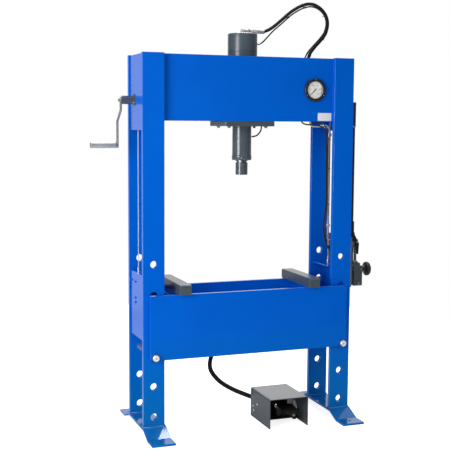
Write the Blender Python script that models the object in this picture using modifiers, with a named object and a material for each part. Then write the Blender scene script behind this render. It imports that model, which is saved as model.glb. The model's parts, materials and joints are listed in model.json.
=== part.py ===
# Hydraulic shop press on two pairs of flat columns, with a winch-lifted table.
# Lengths are in metres and +Z is up. The press is drawn about its own middle plane
# and then set so that the middle of its footprint lies on the world origin.

import math

import bpy
import bmesh

# Driving dimensions of the frame
column_height = 2.000
column_width = 0.119
column_thick = 0.025
frame_width = 1.228
frame_depth = 0.309
foot_height = 0.048
foot_thick = 0.012
foot_width = 0.130
foot_length = 0.690
foot_pad = 0.092
foot_slope = 0.085
foot_bolt_hole = 0.018
pin_hole = 0.039
pin_hole_first = 0.056
pin_hole_pitch = 0.166
pin_hole_count = 6
pin_row = 2

# Driving dimensions of the head beam
beam_height = 0.350
beam_plate = 0.020
beam_drop = 0.003
end_plate = 0.008
end_inset = 0.007
end_plate_low = 0.052

# Driving dimensions of the cylinder and ram
carrier_width = 0.286
carrier_thick = 0.028
barrel_radius = 0.082
bore_radius = 0.062
head_height = 0.100
head_over_beam = 0.030
sleeve_radius = 0.0535
sleeve_drop = 0.188
collar_radius = 0.0555
collar_height = 0.028
ram_radius = 0.034
nose_height = 0.069

# Driving dimensions of the table
table_half = 0.581
table_height = 0.352
table_plate = 0.020
notch_depth = 0.039
bar_width = 0.064
bar_height = 0.054
bar_length = 0.396
bar_left_x = -0.389
bar_right_x = 0.371
pin_radius = 0.0185
pin_length = 0.410
guide_thick = 0.010
guide_rise = 0.102
guide_height = 0.355
guide_lip = 0.100
cross_x = 0.440
cross_thick = 0.015

# Driving dimensions of the winch
crank_y = 0.0455
crank_z = 1.804
crank_arm = 0.242
hub_length = 0.068
hub_radius = 0.023
shaft_radius = 0.012
drum_radius = 0.025
drum_flange = 0.034
rope_radius = 0.0025
pulley_radius = 0.030
pulley_z = 1.948
grip_length = 0.148
grip_radius = 0.016

# Driving dimensions of the gauge
gauge_x = 0.383
gauge_drop = 0.176
gauge_flange = 0.064
gauge_body = 0.050
gauge_dial = 0.047

# Driving dimensions of the pump on the right column
pump_x = 0.707
pump_y = -0.045
pump_width = 0.056
pump_depth = 0.060
pump_low = 0.742
pump_height = 0.118
pump_rod_inset = 0.007
lever_pivot_inset = 0.039
lever_pivot_z = 0.992
lever_low = 1.055
lever_length = 0.752
lever_radius = 0.015
lever_grip = 0.135
knob_radius = 0.041
knob_z = 0.836

# Driving dimensions of the foot pedal
pedal_left = 0.077
pedal_right = 0.309
pedal_front = -0.2615
pedal_back = 0.0225
pedal_height = 0.166
pedal_sheet = 0.004

# Clearances
gap = 0.0003
slide_gap = 0.0025
table_gap = 0.002

# Heights and planes that follow from the driving dimensions
half_width = frame_width / 2
half_depth = frame_depth / 2
column_x = half_width - column_width / 2
inner_y = half_depth - column_thick
column_top = foot_height + column_height
beam_top = column_top - beam_drop
beam_low = beam_top - beam_height
gauge_z = beam_top - gauge_drop
end_low = beam_low - end_plate_low
end_outer = half_width - end_inset
end_inner = end_outer - end_plate
beam_inner_y = inner_y - gap - beam_plate
carrier_top = beam_low - gap
carrier_low = carrier_top - carrier_thick
barrel_low = carrier_top + gap
barrel_top = beam_top + head_over_beam
sleeve_low = carrier_low - sleeve_drop
sleeve_top = carrier_top + 0.025
ram_low = sleeve_low - 0.012
nose_low = ram_low - gap - nose_height
pin_z = foot_height + pin_hole_first + pin_row * pin_hole_pitch
table_low = pin_z + pin_radius + gap - notch_depth
table_top = table_low + table_height
table_y = half_depth + table_gap
guide_top = table_top + guide_rise
guide_low = guide_top - guide_height
rope_x = end_inner - 0.007
left_reach = half_width + 0.086 + grip_length
pump_rod_x = pump_x - pump_rod_inset
lever_pivot_x = pump_x - lever_pivot_inset
right_reach = pump_x + pump_width / 2 + 0.060
press_x = (left_reach - right_reach) / 2

# Colours
blue = (0.0, 0.105, 0.60, 1.0)
grey = (0.075, 0.085, 0.095, 1.0)
zinc = (0.58, 0.60, 0.60, 1.0)
steel = (0.45, 0.45, 0.44, 1.0)
black = (0.02, 0.02, 0.022, 1.0)
white = (0.85, 0.85, 0.83, 1.0)
rubber = (0.03, 0.03, 0.03, 1.0)

# An empty scene with one collection for the press and one for the cutters
for old in list(bpy.data.objects):
    bpy.data.objects.remove(old, do_unlink=True)

press = bpy.data.collections.new("hydraulic_shop_press")
bpy.context.scene.collection.children.link(press)
cutters = bpy.data.collections.new("cutters")
bpy.context.scene.collection.children.link(cutters)

origin = bpy.data.objects.new("press_origin", None)
origin.location = (press_x, 0.0, 0.0)
press.objects.link(origin)

materials = {}


def material(name, colour, rough, metal):
    if name not in materials:
        m = bpy.data.materials.new(name)
        m.use_nodes = True
        shader = m.node_tree.nodes["Principled BSDF"]
        shader.inputs["Base Color"].default_value = colour
        shader.inputs["Roughness"].default_value = rough
        shader.inputs["Metallic"].default_value = metal
        materials[name] = m
    return materials[name]


looks = {
    "blue": ("blue_paint", blue, 0.28, 0.0),
    "grey": ("grey_paint", grey, 0.32, 0.0),
    "zinc": ("zinc_plate", zinc, 0.35, 1.0),
    "steel": ("bare_steel", steel, 0.30, 1.0),
    "black": ("black_plastic", black, 0.45, 0.0),
    "white": ("white_card", white, 0.60, 0.0),
    "rubber": ("hose_rubber", rubber, 0.55, 0.0),
    "glass": ("clear_glass", (0.9, 0.95, 0.95, 1.0), 0.05, 0.0),
}


def finish(obj, look, where=(0.0, 0.0, 0.0)):
    obj.data.materials.clear()
    obj.data.materials.append(material(*looks[look]))
    obj.parent = origin
    obj.location = where
    return obj


def mesh_object(name, bm, collection=press):
    bm.normal_update()
    bmesh.ops.recalc_face_normals(bm, faces=bm.faces)
    data = bpy.data.meshes.new(name)
    bm.to_mesh(data)
    bm.free()
    obj = bpy.data.objects.new(name, data)
    collection.objects.link(obj)
    return obj


# A box given by its two corners
def box(name, low, high, collection=press):
    bm = bmesh.new()
    bmesh.ops.create_cube(bm, size=1.0)
    for v in bm.verts:
        v.co.x = low[0] if v.co.x < 0 else high[0]
        v.co.y = low[1] if v.co.y < 0 else high[1]
        v.co.z = low[2] if v.co.z < 0 else high[2]
    return mesh_object(name, bm, collection)


# A round bar from one end to the other along x, y or z
def rod(name, start, axis, length, radius, sides=32, collection=press):
    bm = bmesh.new()
    bmesh.ops.create_cone(bm, cap_ends=True, segments=sides, radius1=radius, radius2=radius, depth=length)
    step = {"x": (length / 2, 0, 0), "y": (0, length / 2, 0), "z": (0, 0, length / 2)}[axis]
    for v in bm.verts:
        x, y, z = v.co
        if axis == "x":
            v.co = (z, y, -x)
        elif axis == "y":
            v.co = (x, z, -y)
        v.co.x += start[0] + step[0]
        v.co.y += start[1] + step[1]
        v.co.z += start[2] + step[2]
    return mesh_object(name, bm, collection)


# A turned piece: an outline of (radius, height) points swept about z, x or y
def turned(name, outline, axis="z", steps=36, collection=press):
    count = len(outline)
    area = 0.0
    for (r0, h0), (r1, h1) in zip(outline, outline[1:] + outline[:1]):
        area += r0 * h1 - r1 * h0
    if area > 0:
        outline = outline[::-1]
    bm = bmesh.new()
    line = []
    for r, h in outline:
        spot = {"z": (r, 0.0, h), "x": (h, r, 0.0), "y": (0.0, h, r)}[axis]
        line.append(bm.verts.new(spot))
    for k in range(count):
        here, after = k, (k + 1) % count
        on_axis = outline[here][0] + outline[after][0] < 1e-9
        if not on_axis:
            bm.edges.new((line[here], line[after]))
    data = bpy.data.meshes.new(name)
    bm.to_mesh(data)
    bm.free()
    obj = bpy.data.objects.new(name, data)
    collection.objects.link(obj)
    sweep = obj.modifiers.new("sweep", "SCREW")
    sweep.axis = axis.upper()
    sweep.angle = 2 * math.pi
    sweep.steps = steps
    sweep.render_steps = steps
    sweep.use_merge_vertices = True
    sweep.merge_threshold = 0.00001
    sweep.use_smooth_shade = True
    return obj


# A flat outline in two directions, pushed out along the third
def pushed(name, outline, axis, low, high, collection=press):
    bm = bmesh.new()
    corners = []
    for a, b in outline:
        spot = {"y": (a, low, b), "x": (low, a, b), "z": (a, b, low)}[axis]
        corners.append(bm.verts.new(spot))
    face = bm.faces.new(corners)
    grown = bmesh.ops.extrude_face_region(bm, geom=[face])
    way = {"y": (0.0, high - low, 0.0), "x": (high - low, 0.0, 0.0), "z": (0.0, 0.0, high - low)}[axis]
    moved = [g for g in grown["geom"] if isinstance(g, bmesh.types.BMVert)]
    bmesh.ops.translate(bm, verts=moved, vec=way)
    return mesh_object(name, bm, collection)


# Modifiers are set here and read when the object is built
def softened(obj, width, segments=1):
    mod = obj.modifiers.new("edge", "BEVEL")
    mod.width = width
    mod.segments = segments
    mod.limit_method = "ANGLE"
    mod.angle_limit = math.radians(40)
    return obj


def combine(obj, tools, kind):
    for tool in tools:
        tool.hide_render = True
        tool.display_type = "WIRE"
        tool.parent = origin
        mod = obj.modifiers.new("cut", "BOOLEAN")
        mod.operation = kind
        mod.solver = "EXACT"
        mod.object = tool
    return obj


def cut(obj, tools):
    return combine(obj, tools, "DIFFERENCE")


def joined(obj, tools):
    return combine(obj, tools, "UNION")


# Points of an arc in a plane, in degrees
def arc(cx, cy, radius, start, stop, count):
    points = []
    for k in range(count + 1):
        a = math.radians(start + (stop - start) * k / count)
        points.append((cx + radius * math.cos(a), cy + radius * math.sin(a)))
    return points


# A smooth path through a list of points, with a point at every even step
def smooth_path(points, step):
    full = [points[0]] + list(points) + [points[-1]]
    fine = []
    for k in range(1, len(full) - 2):
        p0, p1, p2, p3 = full[k - 1], full[k], full[k + 1], full[k + 2]
        for s in range(24):
            t = s / 24
            spot = []
            for a, b, c, d in zip(p0, p1, p2, p3):
                near = 2 * b + (c - a) * t
                far = (2 * a - 5 * b + 4 * c - d) * t * t + (3 * b - a - 3 * c + d) * t * t * t
                spot.append((near + far) / 2)
            fine.append(tuple(spot))
    fine.append(points[-1])
    total = [0.0]
    for a, b in zip(fine, fine[1:]):
        total.append(total[-1] + math.dist(a, b))
    count = max(2, round(total[-1] / step))
    even = [fine[0]]
    at = 0
    for k in range(1, count):
        want = total[-1] * k / count
        while total[at + 1] < want:
            at += 1
        t = (want - total[at]) / (total[at + 1] - total[at])
        even.append(tuple(a + (b - a) * t for a, b in zip(fine[at], fine[at + 1])))
    even.append(fine[-1])
    return even


# A tube of round section along a path
def tube(name, path, radius, look, resolution=2):
    data = bpy.data.curves.new(name, "CURVE")
    data.dimensions = "3D"
    data.bevel_depth = radius
    data.bevel_resolution = resolution
    data.use_fill_caps = True
    spline = data.splines.new("POLY")
    spline.points.add(len(path) - 1)
    for p, spot in zip(spline.points, path):
        p.co = (spot[0], spot[1], spot[2], 1.0)
    obj = bpy.data.objects.new(name, data)
    press.objects.link(obj)
    obj.parent = origin
    data.materials.append(material(*looks[look]))
    return obj


# Corners of a bent pipe, each rounded to the same radius
def rounded_route(corners, radius, count=5):
    route = [corners[0]]
    for before, here, after in zip(corners, corners[1:], corners[2:]):
        back = [a - b for a, b in zip(before, here)]
        on = [a - b for a, b in zip(after, here)]
        back_length = math.sqrt(sum(a * a for a in back))
        on_length = math.sqrt(sum(a * a for a in on))
        start = [h + radius * a / back_length for h, a in zip(here, back)]
        stop = [h + radius * a / on_length for h, a in zip(here, on)]
        for k in range(count + 1):
            t = k / count
            spot = []
            for s, h, e in zip(start, here, stop):
                spot.append(s * (1 - t) ** 2 + 2 * h * t * (1 - t) + e * t * t)
            route.append(tuple(spot))
    route.append(corners[-1])
    return route


# Four column flats with a ladder of pin holes
def column(name, side, front):
    y = -half_depth if front else half_depth - column_thick
    x = side * column_x
    low = (x - column_width / 2, y, foot_height + gap)
    high = (x + column_width / 2, y + column_thick, column_top)
    flat = softened(box(name, low, high), 0.0015)
    holes = []
    for k in range(pin_hole_count):
        z = foot_height + pin_hole_first + k * pin_hole_pitch
        spot = (x, y - 0.02, z)
        holes.append(rod(f"{name}_hole_{k}", spot, "y", column_thick + 0.04, pin_hole / 2, 24, cutters))
    cut(flat, holes)
    finish(flat, "blue")


column("column_front_left", -1, True)
column("column_rear_left", -1, False)
column("column_front_right", 1, True)
column("column_rear_right", 1, False)


# Two feet of bent plate, raised in the middle with a bolt hole in each pad
def foot(name, side):
    half = foot_length / 2
    knee = half - foot_pad
    shoulder = knee - foot_slope
    t = foot_thick
    top = foot_height
    slope_angle = math.atan2(top - t, foot_slope)
    shift = t * math.tan(slope_angle / 2)
    outline = [
        (-half, 0.0),
        (-knee + shift, 0.0),
        (-shoulder + shift, top - t),
        (shoulder - shift, top - t),
        (knee - shift, 0.0),
        (half, 0.0),
        (half, t),
        (knee, t),
        (shoulder, top),
        (-shoulder, top),
        (-knee, t),
        (-half, t),
    ]
    x = side * column_x
    plate = pushed(name, outline, "x", x - foot_width / 2, x + foot_width / 2)
    softened(plate, 0.0012)
    holes = []
    for end in (-1, 1):
        spot = (x, end * (half - foot_pad * 0.55), -0.02)
        holes.append(rod(f"{name}_hole_{end}", spot, "z", 0.06, foot_bolt_hole / 2, 20, cutters))
    cut(plate, holes)
    finish(plate, "blue")


foot("foot_left", -1)
foot("foot_right", 1)


# Beam plates behind the column flats, with lugs for the cylinder bolts
def beam_side(name, front):
    sign = -1 if front else 1
    outer = sign * (inner_y - gap)
    inner = sign * beam_inner_y
    low_y, high_y = sorted((outer, inner))
    low = (-end_inner + gap, low_y, beam_low)
    high = (end_inner - gap, high_y, beam_top)
    plate = softened(box(name, low, high), 0.0012)
    lugs = []
    for side in (-1, 1):
        lug_low, lug_high = sorted((inner - sign * 0.044, inner + sign * 0.010))
        lug = box(
            f"{name}_lug_{side}",
            (side * 0.112 - 0.024, lug_low, beam_low + 0.001),
            (side * 0.112 + 0.024, lug_high, beam_low + 0.036),
            cutters,
        )
        lugs.append(lug)
    joined(plate, lugs)
    if front:
        hole = rod(
            f"{name}_gauge_hole",
            (gauge_x, low_y - 0.02, gauge_z),
            "y",
            beam_plate + 0.04,
            gauge_body + 0.0008,
            48,
            cutters,
        )
        cut(plate, [hole])
    else:
        holes = []
        for x in (pulley_left_x, pulley_right_x):
            spot = (x, low_y - 0.02, pulley_z)
            holes.append(rod(f"{name}_axle_{x:.2f}", spot, "y", beam_plate + 0.04, 0.0083, 20, cutters))
        cut(plate, holes)
    finish(plate, "blue")


# The rope leaves the drum at the rear and runs over two pulleys to the right column
cross_rope_x = -(end_inner - 0.016)
pulley_left_x = cross_rope_x + pulley_radius + rope_radius
pulley_right_x = rope_x - pulley_radius - rope_radius
pulley_y = 0.0915
drum_lane_y = crank_y - drum_radius - rope_radius
drum_back_y = crank_y + drum_radius + rope_radius

beam_side("beam_front_plate", True)
beam_side("beam_rear_plate", False)

left_end = box(
    "beam_end_left",
    (-end_outer, -inner_y + gap, end_low),
    (-end_inner, inner_y - gap, beam_top),
)
softened(left_end, 0.001)
shaft_hole = rod(
    "shaft_hole",
    (-end_outer - 0.02, crank_y, crank_z),
    "x",
    0.05,
    shaft_radius + 0.001,
    32,
    cutters,
)
cut(left_end, [shaft_hole])
finish(left_end, "blue")

right_end = box(
    "beam_end_right",
    (end_inner, -inner_y + gap, end_low),
    (end_outer, inner_y - gap, beam_top),
)
softened(right_end, 0.001)
finish(right_end, "blue")

# Carrier plate under the beam, bored for the sleeve
carrier = box(
    "cylinder_plate",
    (-carrier_width / 2, -inner_y + gap, carrier_low),
    (carrier_width / 2, inner_y - gap, carrier_top),
)
softened(carrier, 0.002)
sleeve_hole = rod(
    "sleeve_hole",
    (0, 0, carrier_low - 0.02),
    "z",
    carrier_thick + 0.04,
    sleeve_radius + gap,
    48,
    cutters,
)
cut(carrier, [sleeve_hole])
finish(carrier, "grey")

# Cylinder barrel, open at both ends
barrel = turned(
    "cylinder_barrel",
    [
        (bore_radius, barrel_low),
        (barrel_radius - 0.002, barrel_low),
        (barrel_radius, barrel_low + 0.002),
        (barrel_radius, barrel_top - 0.0015),
        (barrel_radius - 0.0015, barrel_top),
        (bore_radius, barrel_top),
    ],
)
finish(barrel, "grey")

# Cylinder head with a spigot in the bore
head_low = barrel_top + gap
head_top = head_low + head_height
head = turned(
    "cylinder_head",
    [
        (0.0, head_low - 0.006),
        (bore_radius - gap, head_low - 0.006),
        (bore_radius - gap, head_low),
        (barrel_radius - 0.0015, head_low),
        (barrel_radius, head_low + 0.0015),
        (barrel_radius, head_top - 0.005),
        (barrel_radius - 0.005, head_top),
        (0.0, head_top),
    ],
)
finish(head, "grey")

# Guide sleeve through the carrier with a collar at its lower end
sleeve = turned(
    "guide_sleeve",
    [
        (ram_radius + 0.0005, sleeve_low),
        (collar_radius - 0.005, sleeve_low),
        (collar_radius, sleeve_low + 0.005),
        (collar_radius, sleeve_low + collar_height - 0.002),
        (sleeve_radius, sleeve_low + collar_height),
        (sleeve_radius, sleeve_top),
        (ram_radius + 0.0005, sleeve_top),
    ],
)
finish(sleeve, "grey")

# Ram and its piston in one turning, then the press nose
piston_top = barrel_top - 0.012
piston_low = piston_top - 0.050
ram = turned(
    "ram_rod",
    [
        (0.0, ram_low),
        (ram_radius - 0.006, ram_low),
        (ram_radius - 0.006, ram_low + 0.006),
        (ram_radius, ram_low + 0.007),
        (ram_radius, piston_low),
        (bore_radius - 0.0005, piston_low),
        (bore_radius - 0.0005, piston_low + 0.018),
        (bore_radius - 0.004, piston_low + 0.018),
        (bore_radius - 0.004, piston_low + 0.028),
        (bore_radius - 0.0005, piston_low + 0.028),
        (bore_radius - 0.0005, piston_top - 0.002),
        (bore_radius - 0.0025, piston_top),
        (0.0, piston_top),
    ],
)
finish(ram, "steel")

nose_top = ram_low - gap
nose = turned(
    "ram_nose",
    [
        (0.0, nose_low),
        (ram_radius - 0.002, nose_low),
        (ram_radius, nose_low + 0.002),
        (ram_radius, nose_top - 0.0015),
        (ram_radius - 0.0015, nose_top),
        (0.0, nose_top),
    ],
    steps=40,
)
finish(nose, "grey")

# Elbow on the cylinder head for the pressure hose
elbow_z = head_top + gap + 0.014
elbow = turned(
    "head_fitting",
    [
        (0.0, 0.0),
        (0.011, 0.0),
        (0.0125, 0.0015),
        (0.0125, 0.022),
        (0.0095, 0.024),
        (0.0095, 0.048),
        (0.0135, 0.050),
        (0.0135, 0.068),
        (0.0115, 0.070),
        (0.0115, 0.098),
        (0.0, 0.098),
    ],
    "x",
    24,
)
elbow_foot = rod("elbow_foot", (0.0, 0.0, head_top + gap), "z", 0.012, 0.010, 24, cutters)
joined(elbow, [elbow_foot])
finish(elbow, "zinc", (-0.010, 0.0, elbow_z))

# Pressure gauge in the beam front, seen from the front
face_y = -inner_y + gap
case_front = face_y - gap - 0.015
dial_seat = case_front + 0.011
case_back = face_y + 0.054
gauge_case = turned(
    "gauge_case",
    [
        (0.0, case_back),
        (0.0, dial_seat),
        (gauge_dial + 0.0008, dial_seat),
        (gauge_dial + 0.0008, case_front + 0.0045),
        (gauge_dial + 0.0025, case_front + 0.0015),
        (gauge_flange - 0.010, case_front),
        (gauge_flange - 0.003, case_front + 0.0025),
        (gauge_flange, case_front + 0.006),
        (gauge_flange, face_y - gap),
        (gauge_body, face_y - gap),
        (gauge_body, case_back - 0.003),
        (gauge_body - 0.003, case_back),
    ],
    "y",
)
finish(gauge_case, "black", (gauge_x, 0.0, gauge_z))

dial = turned(
    "gauge_dial",
    [
        (0.0, dial_seat - gap - 0.001),
        (gauge_dial, dial_seat - gap - 0.001),
        (gauge_dial, dial_seat - gap),
        (0.0, dial_seat - gap),
    ],
    "y",
    36,
)
finish(dial, "white", (gauge_x, 0.0, gauge_z))

glass_back = case_front + 0.0065
glass = turned(
    "gauge_glass",
    [
        (0.0, glass_back - 0.002),
        (gauge_dial, glass_back - 0.002),
        (gauge_dial, glass_back),
        (0.0, glass_back),
    ],
    "y",
    36,
)
finish(glass, "glass", (gauge_x, 0.0, gauge_z))

needle_y = dial_seat - gap - 0.001 - gap
needle_outline = [
    (-0.0042, -0.0042),
    (0.0, -0.0125),
    (0.0042, -0.0042),
    (0.0046, 0.0),
    (0.0034, 0.0036),
    (0.0008, 0.038),
    (-0.0008, 0.038),
    (-0.0034, 0.0036),
    (-0.0046, 0.0),
]
needle_turn = math.radians(135)
turned_needle = []
for a, b in needle_outline:
    turned_needle.append(
        (
            a * math.cos(needle_turn) - b * math.sin(needle_turn),
            a * math.sin(needle_turn) + b * math.cos(needle_turn),
        )
    )
needle = pushed("gauge_needle", turned_needle, "y", needle_y - 0.0012, needle_y)
finish(needle, "black", (gauge_x, 0.0, gauge_z))

# Valve block behind the gauge, where the pressure hose and the riser pipe meet
block_front = case_back + gap
block = box(
    "gauge_block",
    (gauge_x - 0.032, block_front, gauge_z - 0.030),
    (gauge_x + 0.032, block_front + 0.046, gauge_z + 0.030),
)
softened(block, 0.002)
block_nut = rod(
    "block_nut",
    (gauge_x - 0.012, block_front + 0.023, gauge_z + 0.020),
    "z",
    0.034,
    0.0125,
    6,
    cutters,
)
joined(block, [block_nut])
finish(block, "zinc")
block_y = block_front + 0.023
block_top = gauge_z + 0.054

# Riser pipe from the valve block under the beam and down the right column
pipe_radius = 0.0065
pipe_x = 0.492
pipe_y = -inner_y + 0.025
pipe_low = 1.018
riser = tube(
    "riser_pipe",
    rounded_route(
        [
            (gauge_x + 0.012, block_y, gauge_z - 0.030 - gap),
            (gauge_x + 0.012, block_y, beam_low - 0.026),
            (pipe_x, pipe_y, beam_low - 0.026),
            (pipe_x, pipe_y, pipe_low),
            (half_width, pipe_y, pipe_low),
        ],
        0.024,
    ),
    pipe_radius,
    "zinc",
    3,
)

# Crank bearing on the left end plate
hub_base = -end_outer - gap
bearing = turned(
    "crank_bearing",
    [
        (shaft_radius + 0.0005, hub_base),
        (0.032, hub_base),
        (0.032, hub_base - 0.005),
        (0.0305, hub_base - 0.006),
        (hub_radius, hub_base - 0.006),
        (hub_radius, hub_base - hub_length + 0.0015),
        (hub_radius - 0.0015, hub_base - hub_length),
        (shaft_radius + 0.0005, hub_base - hub_length),
    ],
    "x",
    24,
)
finish(bearing, "grey", (0.0, crank_y, crank_z))

# Crank shaft with the rope drum on its inner end
arm_x = hub_base - hub_length - gap
drum_outer = -end_inner + 0.0015
shaft = turned(
    "crank_shaft",
    [
        (0.0, arm_x - 0.0105),
        (shaft_radius - 0.004, arm_x - 0.0105),
        (shaft_radius - 0.004, arm_x - gap),
        (shaft_radius, arm_x + 0.001),
        (shaft_radius, drum_outer),
        (drum_flange, drum_outer),
        (drum_flange, drum_outer + 0.002),
        (drum_radius - 0.0003, drum_outer + 0.002),
        (drum_radius - 0.0003, drum_outer + 0.026),
        (drum_flange, drum_outer + 0.026),
        (drum_flange, drum_outer + 0.029),
        (0.0, drum_outer + 0.029),
    ],
    "x",
    24,
)
finish(shaft, "steel", (0.0, crank_y, crank_z))

# Crank arm, a flat bar set outward half way, with the grip pin on its lower end
arm_thick = 0.008
arm_set = 0.019
arm_half = 0.013
arm_out = arm_x - gap
arm_line = [
    (arm_out, 0.016),
    (arm_out, -0.055),
    (arm_out - arm_set, -0.115),
    (arm_out - arm_set, -crank_arm - 0.014),
    (arm_out - arm_set - arm_thick, -crank_arm - 0.014),
    (arm_out - arm_set - arm_thick, -0.113),
    (arm_out - arm_thick, -0.053),
    (arm_out - arm_thick, 0.016),
]
arm = pushed("crank_arm", arm_line, "y", -arm_half, arm_half)
softened(arm, 0.003, 2)
arm_hole = rod("arm_hole", (arm_out - 0.03, 0, 0), "x", 0.06, shaft_radius - 0.004 + gap, 24, cutters)
arm_hole.location = (0.0, crank_y, crank_z)
cut(arm, [arm_hole])
grip_start = arm_out - arm_set - arm_thick
pin_stub = rod("grip_pin", (grip_start - 0.120, 0, -crank_arm), "x", 0.124, 0.006, 20, cutters)
pin_stub.location = (0.0, crank_y, crank_z)
joined(arm, [pin_stub])
finish(arm, "zinc", (0.0, crank_y, crank_z))

# Grip that spins on the pin
grip_end = -left_reach
grip = turned(
    "crank_grip",
    [
        (0.0, grip_end),
        (grip_radius - 0.003, grip_end),
        (grip_radius, grip_end + 0.003),
        (grip_radius, grip_start - gap - 0.002),
        (grip_radius - 0.002, grip_start - gap),
        (0.0065, grip_start - gap),
        (0.0065, grip_start - 0.123),
        (0.0, grip_start - 0.123),
    ],
    "x",
    24,
)
finish(grip, "zinc", (0.0, crank_y, crank_z - crank_arm))


# Rope pulleys on stub axles in the rear beam plate
def pulley(name, x):
    half = 0.0070
    wheel = turned(
        name,
        [
            (0.0, -half - 0.004),
            (0.012, -half - 0.004),
            (0.012, -half),
            (pulley_radius + 0.005, -half),
            (pulley_radius + 0.005, -half + 0.0010),
            (pulley_radius - 0.0004, -rope_radius - 0.0006),
            (pulley_radius - 0.0004, rope_radius + 0.0006),
            (pulley_radius + 0.005, half - 0.0010),
            (pulley_radius + 0.005, half),
            (0.012, half),
            (0.012, beam_inner_y - gap - pulley_y),
            (0.008, beam_inner_y - gap - pulley_y),
            (0.008, inner_y - 0.002 - pulley_y),
            (0.0, inner_y - 0.002 - pulley_y),
        ],
        "y",
        24,
    )
    finish(wheel, "steel", (x, pulley_y, pulley_z))


pulley("pulley_left", pulley_left_x)
pulley("pulley_right", pulley_right_x)

# Wire ropes: one straight down from the drum, one along the beam, one down on the right
rope_reach = pulley_radius + rope_radius
lip_top = guide_top + gap
tube(
    "rope_left",
    [(-rope_x, drum_lane_y, crank_z), (-rope_x, drum_lane_y, lip_top)],
    rope_radius,
    "steel",
    2,
)
over_left = []
for a, b in arc(pulley_left_x, pulley_z, rope_reach, 180, 90, 8):
    over_left.append((a, pulley_y, b))
over_right = []
for a, b in arc(pulley_right_x, pulley_z, rope_reach, 90, 0, 8):
    over_right.append((a, pulley_y, b))
tube(
    "rope_cross",
    [(cross_rope_x, drum_back_y, crank_z)] + over_left + over_right,
    rope_radius,
    "steel",
    2,
)
tube(
    "rope_right",
    [(rope_x, pulley_y, pulley_z - gap), (rope_x, pulley_y, lip_top)],
    rope_radius,
    "steel",
    2,
)


# Table plates outside the columns, notched over the pins
def table_side(name, front):
    sign = -1 if front else 1
    low_y, high_y = sorted((sign * table_y, sign * (table_y + table_plate)))
    notch = pin_radius + gap
    right = table_half
    outline = [(-right, table_low)]
    for side in (-1, 1):
        x = side * column_x
        wide = notch + 0.005
        outline.append((x - wide, table_low))
        outline.append((x - notch, table_low + 0.012))
        for a, b in arc(x, pin_z, notch, 180, 0, 12):
            outline.append((a, b))
        outline.append((x + notch, table_low + 0.012))
        outline.append((x + wide, table_low))
    outline += [(right, table_low), (right, table_top), (-right, table_top)]
    plate = pushed(name, outline, "y", low_y, high_y)
    softened(plate, 0.0012)
    finish(plate, "blue")


table_side("table_front_plate", True)
table_side("table_rear_plate", False)


# Cross plates that tie the two table plates, each just inside its columns
def table_cross(name, side):
    x = side * cross_x
    plate = box(
        name,
        (x - cross_thick / 2, -table_y + gap, table_low + 0.014),
        (x + cross_thick / 2, table_y - gap, table_top - 0.014),
    )
    softened(plate, 0.001)
    finish(plate, "blue")


table_cross("table_cross_left", -1)
table_cross("table_cross_right", 1)


# Bent end guides that run between the column flats and carry the ropes
def table_guide(name, side, front_y):
    outer = side * (half_width - end_inset)
    t = guide_thick
    web = outer - side * t
    lip = outer - side * guide_lip
    reach = side * (cross_x + cross_thick / 2 + gap)
    outline = [
        (outer, guide_low),
        (outer, guide_top),
        (lip, guide_top),
        (lip, guide_top - t),
        (web, guide_top - t),
        (web, guide_low + t),
        (reach, guide_low + t),
        (reach, guide_low),
    ]
    plate = pushed(name, outline, "y", front_y, inner_y - slide_gap)
    softened(plate, 0.002)
    finish(plate, "blue")


table_guide("table_guide_left", -1, -inner_y + slide_gap)
table_guide("table_guide_right", 1, -inner_y + 0.050)


# Press bars across the table, with chamfered ends
def press_bar(name, x):
    half = bar_length / 2
    chamfer = 0.008
    low = table_top + gap
    top = low + bar_height
    outline = [
        (-half, low),
        (half, low),
        (half, top - chamfer),
        (half - chamfer, top),
        (-half + chamfer, top),
        (-half, top - chamfer),
    ]
    bar = pushed(name, outline, "x", x - bar_width / 2, x + bar_width / 2)
    softened(bar, 0.0015)
    finish(bar, "grey")


press_bar("press_bar_left", bar_left_x)
press_bar("press_bar_right", bar_right_x)


# Support pins through both flats of a column
def support_pin(name, side):
    half = pin_length / 2
    pin = turned(
        name,
        [
            (0.0, -half),
            (pin_radius - 0.004, -half),
            (pin_radius, -half + 0.004),
            (pin_radius, half - 0.004),
            (pin_radius - 0.004, half),
            (0.0, half),
        ],
        "y",
        24,
    )
    finish(pin, "zinc", (side * column_x, 0.0, pin_z))


support_pin("pin_left", -1)
support_pin("pin_right", 1)

# Pump bracket across the outer edges of the right column, with two lever lugs
bracket_x = half_width + gap
bracket = box(
    "pump_bracket",
    (bracket_x, -half_depth, pump_low + 0.010),
    (bracket_x + 0.008, half_depth, lever_pivot_z + 0.045),
)
softened(bracket, 0.001)
lug_y = 0.013
lugs = []
for side in (-1, 1):
    y = pump_y + side * lug_y
    lug = box(
        f"lever_lug_{side}",
        (bracket_x + 0.004, y - 0.004, lever_pivot_z - 0.028),
        (lever_pivot_x + 0.016, y + 0.004, lever_pivot_z + 0.008),
        cutters,
    )
    lugs.append(lug)
joined(bracket, lugs)
lug_hole = rod("lug_hole", (lever_pivot_x, pump_y - 0.05, lever_pivot_z), "y", 0.1, 0.0065, 20, cutters)
cut(bracket, [lug_hole])
shelf = box(
    "pump_shelf",
    (bracket_x + 0.004, pump_y - 0.022, pump_low + 0.030),
    (pump_x - pump_width / 2 - gap, pump_y + 0.022, pump_low + 0.084),
    cutters,
)
joined(bracket, [shelf])
finish(bracket, "grey")

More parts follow.
